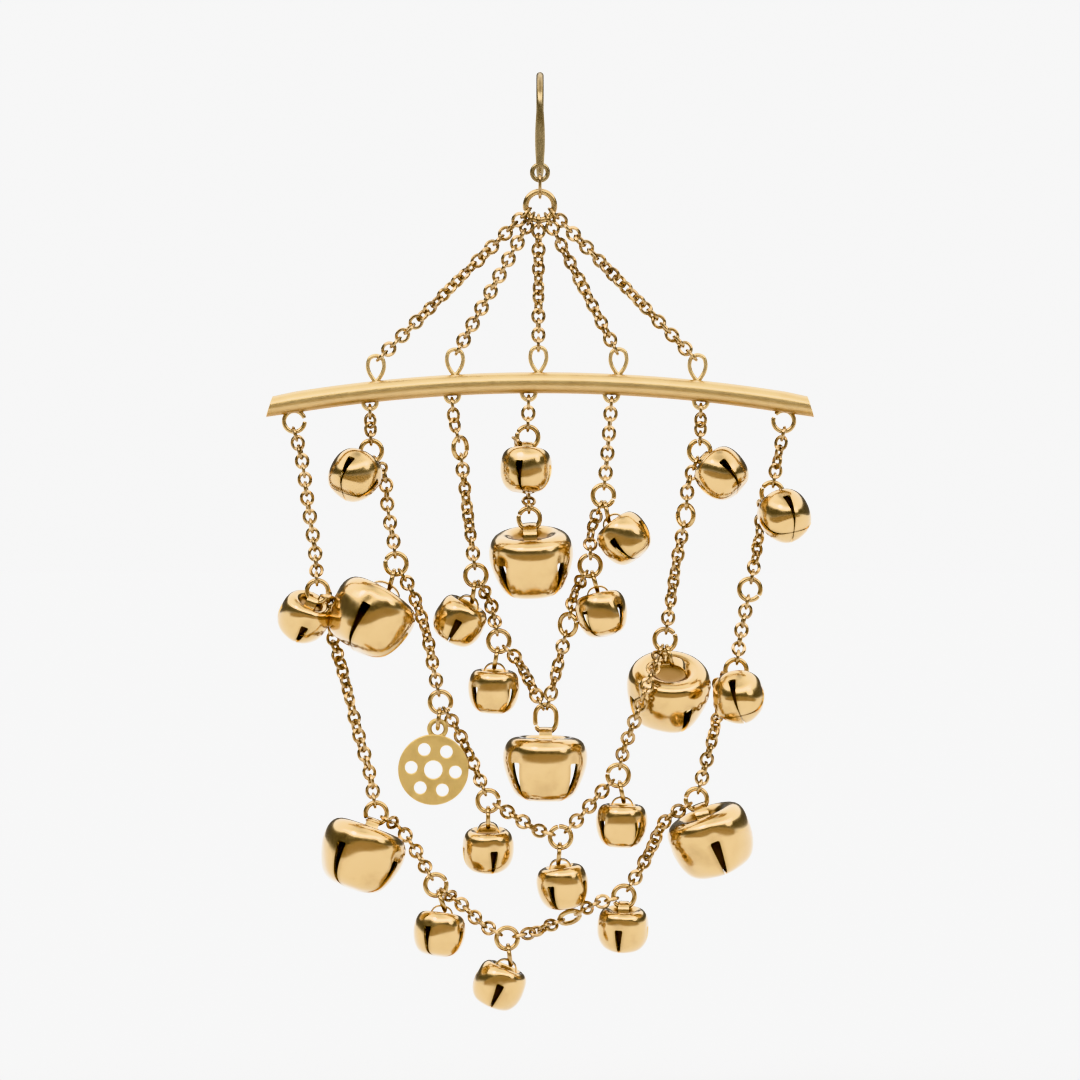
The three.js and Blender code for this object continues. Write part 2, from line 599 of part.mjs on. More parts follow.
// A flat disc with a ring of holes round a larger one, and a loop on its edge; its origin is under
// the top of the loop
function pierced(centreZ) {
  const outline = new THREE.Shape().absarc(0, 0, DISC_ACROSS / 2, 0, 2 * Math.PI);
  const holeRadius = (DISC_ACROSS / 2 + DISC_CENTRE_HOLE / 2) / 2;
  const addHole = (x, y, acrossHole) => {
    outline.holes.push(new THREE.Path().absarc(x, y, acrossHole / 2, 0, 2 * Math.PI, true));
  };
  addHole(0, 0, DISC_CENTRE_HOLE);
  for (let i = 0; i < DISC_HOLES; i += 1) {
    const angle = (2 * Math.PI * (i + 0.5)) / DISC_HOLES;
    addHole(holeRadius * Math.sin(angle), holeRadius * Math.cos(angle), DISC_HOLE_ACROSS);
  }
  const extrusion = { depth: DISC_THICK, bevelEnabled: false, curveSegments: 4 };
  const plate = new THREE.ExtrudeGeometry(outline, extrusion);
  plate.translate(0, 0, -DISC_THICK / 2).rotateX(Math.PI / 2).translate(0, 0, centreZ);
  const loop = ringGeometry(DISC_LOOP_OUTSIDE, DISC_LOOP_OUTSIDE, DISC_LOOP_WIRE);
  return joined([plate, loop.translate(0, 0, DISC_LOOP_WIRE - DISC_LOOP_OUTSIDE / 2)]);
}

const earring = new THREE.Group();
earring.add(named("ear_hook", geometryOf(earHook()), darkBrass));
const linkShape = ringGeometry(LINK_LENGTH, LINK_WIDTH, LINK_WIRE);
const hookLink = named("hook_link", closed(linkShape), chainBrass);
hookLink.position.set(0, frontY, linkCentreZ);
hookLink.rotation.z = Math.PI / 2;
earring.add(hookLink);

const drop = new THREE.Group();
drop.position.set(0, frontY, topRingZ);
earring.add(drop);
const topRing = ringGeometry(TOP_RING_OUTSIDE, TOP_RING_OUTSIDE, TOP_RING_WIRE, 12);
drop.add(named("top_ring", closed(topRing), brass));
TOP_EYE_PLACES.forEach((_, number) => {
  drop.add(named(`hanger_chain_${number + 1}`, geometryOf(hangerChain(number)), chainBrass));
});

const barGroup = new THREE.Group();
barGroup.position.z = -BAR_DROP;
drop.add(barGroup);
barGroup.add(named("bar", geometryOf(bar()), satinBrass));

const loopHolder = (place) => {
  const x = LOOP_PLACES[place] * BAR_SPAN;
  return { at: new THREE.Vector3(x, 0, loopCentre(x) - (LOOP_WIDTH - LOOP_WIRE) / 2), wire: LOOP_WIRE };
};
const endRingHolder = (place) => {
  const x = END_RING_PLACES[place] * BAR_SPAN;
  const z = endRingCentre(x) - (END_RING_OUTSIDE - END_RING_WIRE) / 2;
  return { at: new THREE.Vector3(x, 0, z), wire: END_RING_WIRE };
};
const SWAG_ENDS = {
  swag_outer: [endRingHolder("outerLeft"), endRingHolder("outerRight")],
  swag_middle: [loopHolder("middleLeft"), loopHolder("middleRight")],
  swag_inner: [loopHolder("innerLeft"), loopHolder("innerRight")],
  centre_chain: [loopHolder("centre"), null],
};
Object.entries(CHAIN_ROUTES).forEach(([name, route]) => {
  barGroup.add(named(name, geometryOf(swag(route, ...SWAG_ENDS[name])), chainBrass));
});

PENDANTS.forEach((pendant) => {
  const hasJump = pendant.jump !== undefined;
  const mesh = named(pendant.name, geometryOf(bell(pendant.size, pendant.turn, !hasJump)), brass);
  mesh.position.copy(hangPoint(pendant));
  mesh.rotation.copy(hangTurn(pendant.roll, pendant.pitch));
  barGroup.add(mesh);
});
const discCentreZ = 2 * DISC_LOOP_WIRE - DISC_LOOP_OUTSIDE - DISC_ACROSS / 2;
const disc = named("disc_charm", geometryOf(pierced(discCentreZ)), mattBrass);
disc.position.copy(hangPoint(DISC));
disc.rotation.copy(hangTurn(DISC.roll, 0));
barGroup.add(disc);

export default earring;
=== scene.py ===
import math

import bpy
import numpy as np
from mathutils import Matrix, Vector


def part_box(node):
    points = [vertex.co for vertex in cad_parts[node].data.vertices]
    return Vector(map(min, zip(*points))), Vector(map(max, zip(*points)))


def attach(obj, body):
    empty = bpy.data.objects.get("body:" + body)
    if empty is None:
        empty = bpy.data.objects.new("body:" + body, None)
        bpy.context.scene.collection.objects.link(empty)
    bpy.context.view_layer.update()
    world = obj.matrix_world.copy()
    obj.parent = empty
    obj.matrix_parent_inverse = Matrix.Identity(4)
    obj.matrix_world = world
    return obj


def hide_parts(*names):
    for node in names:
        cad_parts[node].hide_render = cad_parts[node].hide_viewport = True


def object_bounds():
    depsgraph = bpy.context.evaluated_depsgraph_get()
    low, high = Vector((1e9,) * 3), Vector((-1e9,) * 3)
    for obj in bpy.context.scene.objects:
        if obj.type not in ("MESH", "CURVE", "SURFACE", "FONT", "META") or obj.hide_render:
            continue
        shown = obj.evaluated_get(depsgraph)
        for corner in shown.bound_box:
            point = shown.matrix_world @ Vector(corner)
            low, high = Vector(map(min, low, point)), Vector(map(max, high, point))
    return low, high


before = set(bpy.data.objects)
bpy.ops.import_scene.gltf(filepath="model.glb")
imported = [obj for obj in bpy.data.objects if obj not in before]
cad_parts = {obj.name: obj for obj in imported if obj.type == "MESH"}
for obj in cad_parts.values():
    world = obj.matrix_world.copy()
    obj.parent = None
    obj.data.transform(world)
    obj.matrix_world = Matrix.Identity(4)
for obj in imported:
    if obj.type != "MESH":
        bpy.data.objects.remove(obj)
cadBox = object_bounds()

# A chandelier earring on a wire hook. Metres, +Z up, the front faces -Y.

toViewer = np.array([0.0, -1.0, 0.0])
toRight = np.array([1.0, 0.0, 0.0])
up = np.array([0.0, 0.0, 1.0])
chance = np.random.default_rng(11)


def middleOf(node):
    low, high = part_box(node)
    return np.array((low + high) / 2)


def unit(v):
    return v / np.linalg.norm(v)


def vec(x, y, z):
    return np.array([x, y, z], float)


def smoothPath(points, steps=14):
    # a curve through the points that leaves out no corner, as even rows of points
    pts = np.array(points, float)
    pts = np.vstack([2 * pts[0] - pts[1], pts, 2 * pts[-1] - pts[-2]])
    rows = []
    for i in range(1, len(pts) - 2):
        p0, p1, p2, p3 = pts[i - 1:i + 3]
        d0, d1, d2 = (math.sqrt(np.linalg.norm(b - a)) or 1e-6 for a, b in ((p0, p1), (p1, p2), (p2, p3)))
        m1 = ((p1 - p0) / d0 - (p2 - p0) / (d0 + d1) + (p2 - p1) / d1) * d1
        m2 = ((p2 - p1) / d1 - (p3 - p1) / (d1 + d2) + (p3 - p2) / d2) * d1
        for t in np.linspace(0, 1, steps, endpoint=False):
            rows.append((2 * t**3 - 3 * t**2 + 1) * p1 + (t**3 - 2 * t**2 + t) * m1
                        + (3 * t**2 - 2 * t**3) * p2 + (t**3 - t**2) * m2)
    rows.append(pts[-2])
    return np.array(rows)


def atLengths(path, lengths):
    # places and directions at distances along a path
    along = np.concatenate([[0], np.cumsum(np.linalg.norm(np.diff(path, axis=0), axis=1))])
    places = np.stack([np.interp(lengths, along, path[:, k]) for k in range(3)], axis=1)
    step = along[-1] / 400
    ahead = np.stack([np.interp(lengths + step, along, path[:, k]) for k in range(3)], axis=1)
    behind = np.stack([np.interp(lengths - step, along, path[:, k]) for k in range(3)], axis=1)
    heading = ahead - behind
    return places, heading / np.linalg.norm(heading, axis=1, keepdims=True)


def circle(radius, sides):
    turn = np.linspace(0, 2 * math.pi, sides, endpoint=False)
    return np.stack([np.cos(turn), np.sin(turn)], axis=1) * radius


def strip(thick, wide, sides=16, squareness=5):
    # a flat strip's outline with eased corners
    turn = np.linspace(0, 2 * math.pi, sides, endpoint=False) + math.pi / sides
    c, s = np.cos(turn), np.sin(turn)
    eased = (abs(c)**squareness + abs(s)**squareness)**(-1 / squareness)
    return np.stack([c * eased * thick / 2, s * eased * wide / 2], axis=1)


def sweep(path, outline, normal, closed=False, swell=None):
    # pulls an outline along a path that lies in, or close to, the plane with this normal
    n = len(path)
    if closed:
        heading = np.roll(path, -1, axis=0) - np.roll(path, 1, axis=0)
    else:
        heading = np.gradient(path, axis=0)
    heading = heading / np.linalg.norm(heading, axis=1, keepdims=True)
    side = np.cross(heading, normal)
    side = side / np.linalg.norm(side, axis=1, keepdims=True)
    front = np.cross(side, heading)
    swell = np.ones((n, 2)) if swell is None else swell
    verts = (path[:, None] + side[:, None] * (outline[None, :, :1] * swell[:, None, :1])
             + front[:, None] * (outline[None, :, 1:] * swell[:, None, 1:]))
    m = len(outline)
    faces = []
    for i in range(n if closed else n - 1):
        a, b = i * m, ((i + 1) % n) * m
        faces += [(a + j, a + (j + 1) % m, b + (j + 1) % m, b + j) for j in range(m)]
    if not closed:
        faces.append(tuple(range(m))[::-1])
        faces.append(tuple((n - 1) * m + j for j in range(m)))
    return verts.reshape(-1, 3), faces


def merged(parts):
    verts, faces, count = [], [], 0
    for v, f in parts:
        verts.append(v)
        faces += [tuple(i + count for i in face) for face in f]
        count += len(v)
    return np.vstack(verts), faces


def turned(part, axis, angle, centre=(0, 0, 0)):
    verts, faces = part
    k, c, s = unit(np.array(axis, float)), math.cos(angle), math.sin(angle)
    p = verts - np.array(centre)
    p = p * c + np.cross(k, p) * s + np.outer(p @ k, k) * (1 - c)
    return p + np.array(centre), faces


def moved(part, place):
    return part[0] + np.array(place), part[1]


def wireRing(outside, wire, long=0, gap=0, gapAt=0, sides=48, wireSides=14):
    # a ring of wire in the XZ plane round the origin, drawn out in Z by long, cut open by gap
    radius = (outside - wire) / 2
    if gap:
        half = gap / radius / 2
        turn = np.linspace(gapAt + half, gapAt + 2 * math.pi - half, sides)
    else:
        turn = np.linspace(0, 2 * math.pi, sides, endpoint=False)
    path = np.stack([np.cos(turn) * radius, 0 * turn, np.sin(turn) * radius], axis=1)
    path[:, 2] += np.tanh(path[:, 2] / radius * 4) * long / 2
    swell = None
    if gap:
        ends = np.ones(sides)
        ends[[0, -1]] = 0.8
        swell = np.stack([ends, ends], axis=1)
    return sweep(path, circle(wire / 2, wireSides), toViewer, closed=not gap, swell=swell)


def piece(name, part, materials, body, stands=(), kinds=None, sharp=42, marks=None):
    verts, faces = part
    mesh = bpy.data.meshes.new(name)
    mesh.from_pydata([tuple(v) for v in verts], [], faces)
    for material in materials:
        mesh.materials.append(material)
    if kinds is not None:
        mesh.polygons.foreach_set("material_index", kinds)
    mesh.polygons.foreach_set("use_smooth", [True] * len(mesh.polygons))
    mesh.validate()
    mesh.update()
    mesh.set_sharp_from_angle(angle=math.radians(sharp))
    # marks: how much painted shade each point gets
    if marks is not None:
        paintedShade = mesh.attributes.new("paintedShade", "FLOAT", "POINT")
        paintedShade.data.foreach_set("value", np.asarray(marks, np.float32))
    obj = bpy.data.objects.new(name, mesh)
    bpy.context.scene.collection.objects.link(obj)
    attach(obj, body)
    if stands:
        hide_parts(*stands)
    return obj


# what a finish has where its own row says nothing else: scales are in turns a metre
plainFinish = dict(metal=1, coat=0, coatRough=0.12, coatIor=1.7, patch=330, tarnish=(0.3, 0.55), wear=1500,
                   wearSpan=(0.3, 0.7), pits=2600, bump=0.15, relief=0.00004)


def brassFinish(name, ownValues):
    # polished or satin brass: broad tarnish, fine wear and, where the mesh has a mark for it, painted shade
    # that darkens the colour and takes the coat away
    finish = {**plainFinish, **ownValues}
    material = bpy.data.materials.new(name)
    material.use_nodes = True
    nodes, links = material.node_tree.nodes, material.node_tree.links
    shader = nodes["Principled BSDF"]
    shader.inputs["Metallic"].default_value = finish["metal"]
    shader.inputs["Coat Weight"].default_value = finish["coat"]
    shader.inputs["Coat Roughness"].default_value = finish["coatRough"]
    shader.inputs["Coat IOR"].default_value = finish["coatIor"]
    place = nodes.new("ShaderNodeTexCoord")

    def noise(scale, detail, rough):
        tex = nodes.new("ShaderNodeTexNoise")
        tex.inputs["Scale"].default_value = scale
        tex.inputs["Detail"].default_value = detail
        tex.inputs["Roughness"].default_value = rough
        links.new(place.outputs["Object"], tex.inputs["Vector"])
        return tex.outputs["Fac"]

    def between(value, low, high, toLow, toHigh):
        span = nodes.new("ShaderNodeMapRange")
        span.inputs["From Min"].default_value = low
        span.inputs["From Max"].default_value = high
        span.inputs["To Min"].default_value = toLow
        span.inputs["To Max"].default_value = toHigh
        links.new(value, span.inputs["Value"])
        return span.outputs["Result"]

    tarnish = nodes.new("ShaderNodeValToRGB")
    tones = (finish["dark"], finish["colour"])
    for stop, at, tone in zip(tarnish.color_ramp.elements, finish["tarnish"], tones):
        stop.position = at
        stop.color = (*tone, 1)
    links.new(noise(finish["patch"], 4, 0.6), tarnish.inputs["Fac"])
    colour = tarnish.outputs["Color"]
    # painted shade: where the mesh's mark is high, the colour mixes toward a dark one and the coat's
    # highlight fades
    if "paintedShade" in finish:
        mark = nodes.new("ShaderNodeAttribute")
        mark.attribute_name = "paintedShade"
        mix = nodes.new("ShaderNodeMix")
        mix.data_type = "RGBA"
        links.new(mark.outputs["Fac"], mix.inputs["Factor"])
        links.new(colour, mix.inputs["A"])
        mix.inputs["B"].default_value = (*finish["paintedShade"], 1)
        colour = mix.outputs["Result"]
        links.new(between(mark.outputs["Fac"], 0, 1, finish["coat"], 0), shader.inputs["Coat Weight"])
    links.new(colour, shader.inputs["Base Color"])
    wear = noise(finish["wear"], 3, 0.6)
    links.new(between(wear, *finish["wearSpan"], *finish["rough"]), shader.inputs["Roughness"])
    bump = nodes.new("ShaderNodeBump")
    bump.inputs["Strength"].default_value = finish["bump"]
    bump.inputs["Distance"].default_value = finish["relief"]
    links.new(noise(finish["pits"], 5, 0.65), bump.inputs["Height"])
    links.new(bump.outputs["Normal"], shader.inputs["Normal"])
    return material


finishes = {
    "hookBrass": dict(colour=(0.37, 0.28, 0.15), dark=(0.22, 0.15, 0.07), rough=(0.22, 0.38), patch=500),
    "ringBrass": dict(colour=(0.52, 0.35, 0.14), dark=(0.36, 0.22, 0.08), rough=(0.16, 0.3), coat=0.7),
    "chainBrass": dict(colour=(0.46, 0.30, 0.12), dark=(0.27, 0.16, 0.06), rough=(0.14, 0.28), patch=420,
                       coat=0.7),
    # the bar's mixed-in dark colour is painted shade for its underside
    "barBrass": dict(colour=(0.66, 0.48, 0.22), dark=(0.61, 0.43, 0.19), rough=(0.36, 0.44), bump=0.06,
                     coat=0.7, paintedShade=(0.40, 0.22, 0.07)),
    "barEnd": dict(colour=(0.30, 0.18, 0.06), dark=(0.20, 0.11, 0.03), rough=(0.35, 0.5)),
    # the bells' mixed-in dark colour is painted shade for the top recess, the slot edges and the bail
    "bellBrass": dict(colour=(0.67, 0.455, 0.19), dark=(0.56, 0.37, 0.14), rough=(0.13, 0.22), bump=0.06,
                      coat=1, paintedShade=(0.21, 0.11, 0.03)),
    # painted shade: the bells' insides and pellets are near black
    "bellInsideShade": dict(colour=(0.10, 0.035, 0.008), dark=(0.04, 0.012, 0.003), rough=(0.45, 0.65),
                       metal=0.7),
    # painted highlight: the bells' cut rims are paler than their bodies
    "bellEdgeHighlight": dict(colour=(0.90, 0.68, 0.36), dark=(0.78, 0.56, 0.25), rough=(0.16, 0.26)),
    "discBrass": dict(colour=(0.69, 0.51, 0.215), dark=(0.58, 0.41, 0.16), rough=(0.42, 0.55), bump=0.3),
}
metal = {name: brassFinish(name, finish) for name, finish in finishes.items()}
print("finishes made")


hook = dict(wire=0.00095, shankWidth=0.00125, widenPace=1.1, eyeDrop=0.0115, backDrop=0.012, backFlare=0.0012,
            tipTaper=(0.85, 0.55), eyeOutside=0.0025, eyeWire=0.0006)
topRing = dict(outside=0.00425, wire=0.00078, gap=0.00006, gapAt=math.radians(200))
hookLink = dict(length=0.0032, width=0.0021, wire=0.00045)

frontY = middleOf("top_ring")[1]
bendRadius = -frontY
bendZ = hook["wire"] / 2 - bendRadius
eyeZ = -hook["eyeDrop"]


def hookWire():
    shankEnd = eyeZ + (hook["eyeOutside"] - hook["eyeWire"]) / 2
    points = [vec(0, frontY, shankEnd), vec(0, frontY, (eyeZ + bendZ) / 2)]
    for turn in np.linspace(0, math.pi, 13):
        points.append(vec(0, -math.cos(turn) * bendRadius, bendZ + math.sin(turn) * bendRadius))
    points.append(vec(0, bendRadius, (bendZ - hook["backDrop"]) / 2))
    points.append(vec(0, bendRadius + hook["backFlare"], -hook["backDrop"]))
    path = smoothPath(points, 8)
    below = np.clip((bendZ - path[:, 2]) / (bendZ - eyeZ), 0, 1)
    widen = np.where(path[:, 1] < 0, np.sin(math.pi * np.clip(below * hook["widenPace"], 0, 1)), 0)
    swell = np.ones((len(path), 2))
    swell[:, 1] += (hook["shankWidth"] / hook["wire"] - 1) * widen
    swell[-2:] *= np.array(hook["tipTaper"])[:, None]
    return sweep(path, circle(hook["wire"] / 2, 24), toRight, swell=swell)


hookEye = moved(wireRing(hook["eyeOutside"], hook["eyeWire"]), (0, frontY, eyeZ))
piece("hookWire", hookWire(), [metal["hookBrass"]], "hook", ["ear_hook"])
piece("hookEye", hookEye, [metal["hookBrass"]], "hook")

linkShape = wireRing(hookLink["width"], hookLink["wire"], long=hookLink["length"] - hookLink["width"])
linkShape = moved(turned(linkShape, up, math.pi / 2), middleOf("hook_link"))
piece("hookLink", linkShape, [metal["chainBrass"]], "link", ["hook_link"])

ringCentre = middleOf("top_ring")
topRingShape = wireRing(topRing["outside"], topRing["wire"], gap=topRing["gap"], gapAt=topRing["gapAt"])
piece("topRing", moved(topRingShape, ringCentre), [metal["ringBrass"]], "drop", ["top_ring"])
print("hook, link and top ring made")


bar = dict(drop=0.0215, across=0.0026, span=0.0658, rise=0.0029, slant=math.radians(27), cutLength=0.003,
           eyeWidth=0.0025, eyeHeight=0.0033, eyeWire=0.00052, loopWidth=0.0022, loopWire=0.00055,
           loopDrop=0.00105, endRing=0.0031, endRingWire=0.00057, endRingSunk=0.00055, endRingGap=0.0004,
           paintedShadeFrom=0.15, paintedShadeMost=0.8)
topEyes = [-0.303, -0.157, -0.003, 0.145, 0.291]
loops = dict(middleLeft=-0.314, innerLeft=-0.162, centre=-0.021, innerRight=0.132, middleRight=0.297)
endRings = dict(outerLeft=-0.4535, outerRight=0.45)
endRingGapAt = dict(outerLeft=math.radians(8), outerRight=math.radians(150))

barCentre = ringCentre - up * bar["drop"]
barRadius = (bar["span"]**2 / 4 + bar["rise"]**2) / (2 * bar["rise"])


def barHeight(x):
    return np.sqrt(barRadius**2 - x**2) - barRadius


def barRod():
    half = bar["span"] / 2
    x = half * np.sin(np.linspace(-math.pi / 2, math.pi / 2, 72))
    path = np.stack([x, 0 * x, barHeight(x)], axis=1)
    verts, faces = sweep(path, circle(bar["across"] / 2, 40), toViewer)
    above = verts[:, 2] - barHeight(np.clip(verts[:, 0], -half, half))
    near = np.clip((abs(verts[:, 0]) - half + bar["cutLength"]) / bar["cutLength"], 0, 1)
    verts[:, 0] -= np.sign(verts[:, 0]) * above * near * math.tan(bar["slant"])
    kinds = [0] * (len(faces) - 2) + [1, 1]
    # painted shade: darker towards the bar's underside
    marks = np.clip(-above / bar["across"] * 2 - bar["paintedShadeFrom"], 0, bar["paintedShadeMost"])
    return (verts, faces), kinds, marks


def topEye(x):
    # a teardrop of wire that narrows to where it is soldered
    half = (bar["eyeWidth"] - bar["eyeWire"]) / 2
    tall = bar["eyeHeight"] - bar["eyeWire"] / 2
    shares = [(0.05, -0.04), (0.45, 0.12), (0.86, 0.36), (1, 0.62), (0.74, 0.9), (0, 1)]
    right = [vec(a * half, 0, b * tall) for a, b in shares]
    left = [p * vec(-1, 1, 1) for p in right[-2::-1]]
    path = smoothPath(right + left, 6)
    foot = (x, 0, barHeight(x) + bar["across"] / 2)
    return moved(sweep(path, circle(bar["eyeWire"] / 2, 12), toViewer), foot)


def loopCentre(x):
    return barHeight(x) - bar["across"] / 2 - bar["loopDrop"] + bar["loopWidth"] / 2


def endRingCentre(x):
    return barHeight(x) - bar["across"] / 2 + bar["endRingSunk"] - bar["endRing"] / 2


rod, rodKinds, rodMarks = barRod()
barFinish = [metal["barBrass"], metal["barEnd"]]
piece("bar", moved(rod, barCentre), barFinish, "drop", ["bar"], rodKinds, marks=rodMarks)
eyeParts = [topEye(share * bar["span"]) for share in topEyes]
piece("barEyes", moved(merged(eyeParts), barCentre), [metal["barBrass"]], "drop")
loopParts = []
for share in loops.values():
    x = share * bar["span"]
    loopParts.append(moved(wireRing(bar["loopWidth"], bar["loopWire"]), (x, 0, loopCentre(x))))
piece("barLoops", moved(merged(loopParts), barCentre), [metal["barBrass"]], "drop")
ringParts = []
for side, share in endRings.items():
    x = share * bar["span"]
    shape = wireRing(bar["endRing"], bar["endRingWire"], gap=bar["endRingGap"], gapAt=endRingGapAt[side])
    ringParts.append(moved(shape, (x, 0, endRingCentre(x))))
piece("barEndRings", moved(merged(ringParts), barCentre), [metal["ringBrass"]], "drop")
print("bar made")


chain = dict(length=0.00206, width=0.00186, wire=0.00045, sides=20, wireSides=8, sway=0.22)
ring = dict(outside=0.0032, wire=0.00062, oval=0.0008, gap=0.00007, cadWire=0.00055,
            gapPlaces=[20, 95, 160, 205, 335], gapSway=12, twistSway=0.12)
jump = dict(outside=0.0030, wire=0.00058, bite=0.0002, cadOutside=0.0028, cadWire=0.0005,
            gapAt=math.radians(150))

linkTurn = np.linspace(0, 2 * math.pi, chain["sides"], endpoint=False)
linkPath = np.stack([np.cos(linkTurn) * (chain["width"] - chain["wire"]) / 2, 0 * linkTurn,
                     np.sin(linkTurn) * (chain["length"] - chain["wire"]) / 2], axis=1)
linkMesh = sweep(linkPath, circle(chain["wire"] / 2, chain["wireSides"]), toViewer, closed=True)


def chainRun(points, startWire, endWire):
    # links along a run whose first and last links wrap wires that face the viewer
    path = smoothPath(points)
    total = np.linalg.norm(np.diff(path, axis=0), axis=1).sum()
    pitch = chain["length"] - 2 * chain["wire"]
    inset = chain["length"] / 2 - chain["wire"]
    first, last = inset - startWire / 2, total - inset + endWire / 2
    count = max(2, round((last - first) / pitch) + 1)
    places, heading = atLengths(path, np.linspace(first, last, count))
    quarters = count - 1 + (count - 1) % 2
    turns = np.linspace(0, quarters, count) * math.pi / 2 + math.pi / 2
    turns[1:-1] += chance.uniform(-chain["sway"], chain["sway"], count - 2)
    parts = []
    for place, t, turn in zip(places, heading, turns):
        side = unit(np.cross(toViewer, t))
        front = np.cross(t, side)
        across = side * math.cos(turn) + front * math.sin(turn)
        normal = np.cross(t, across)
        verts, faces = linkMesh
        parts.append((place + np.outer(verts[:, 0], across) + np.outer(verts[:, 1], normal)
                      + np.outer(verts[:, 2], t), faces))
    return parts


fan = [math.radians(a) for a in (-65, -36, -6, 31, 62)]
# where a hanger chain holds its eye, as shares of the eye's half width: to the side and down
eyeHold = dict(side=0.7, down=0.35)
for number, angle in enumerate(fan):
    outward = vec(math.sin(angle), 0, -math.cos(angle))
    start = ringCentre + outward * (topRing["outside"] - topRing["wire"]) / 2
    x = topEyes[number] * bar["span"]
    eyeTop = barCentre + vec(x, 0, barHeight(x) + bar["across"] / 2 + bar["eyeHeight"] - bar["eyeWire"] / 2)
    lean = unit(start - eyeTop)
    hold = vec(lean[0] * eyeHold["side"], 0, -eyeHold["down"] * abs(lean[0]))
    end = eyeTop + hold * (bar["eyeWidth"] - bar["eyeWire"]) / 2
    run = chainRun([start, end], topRing["wire"], bar["eyeWire"])
    name = f"hanger_chain_{number + 1}"
    piece(f"hangerChain{number + 1}", merged(run), [metal["chainBrass"]], "drop", [name])

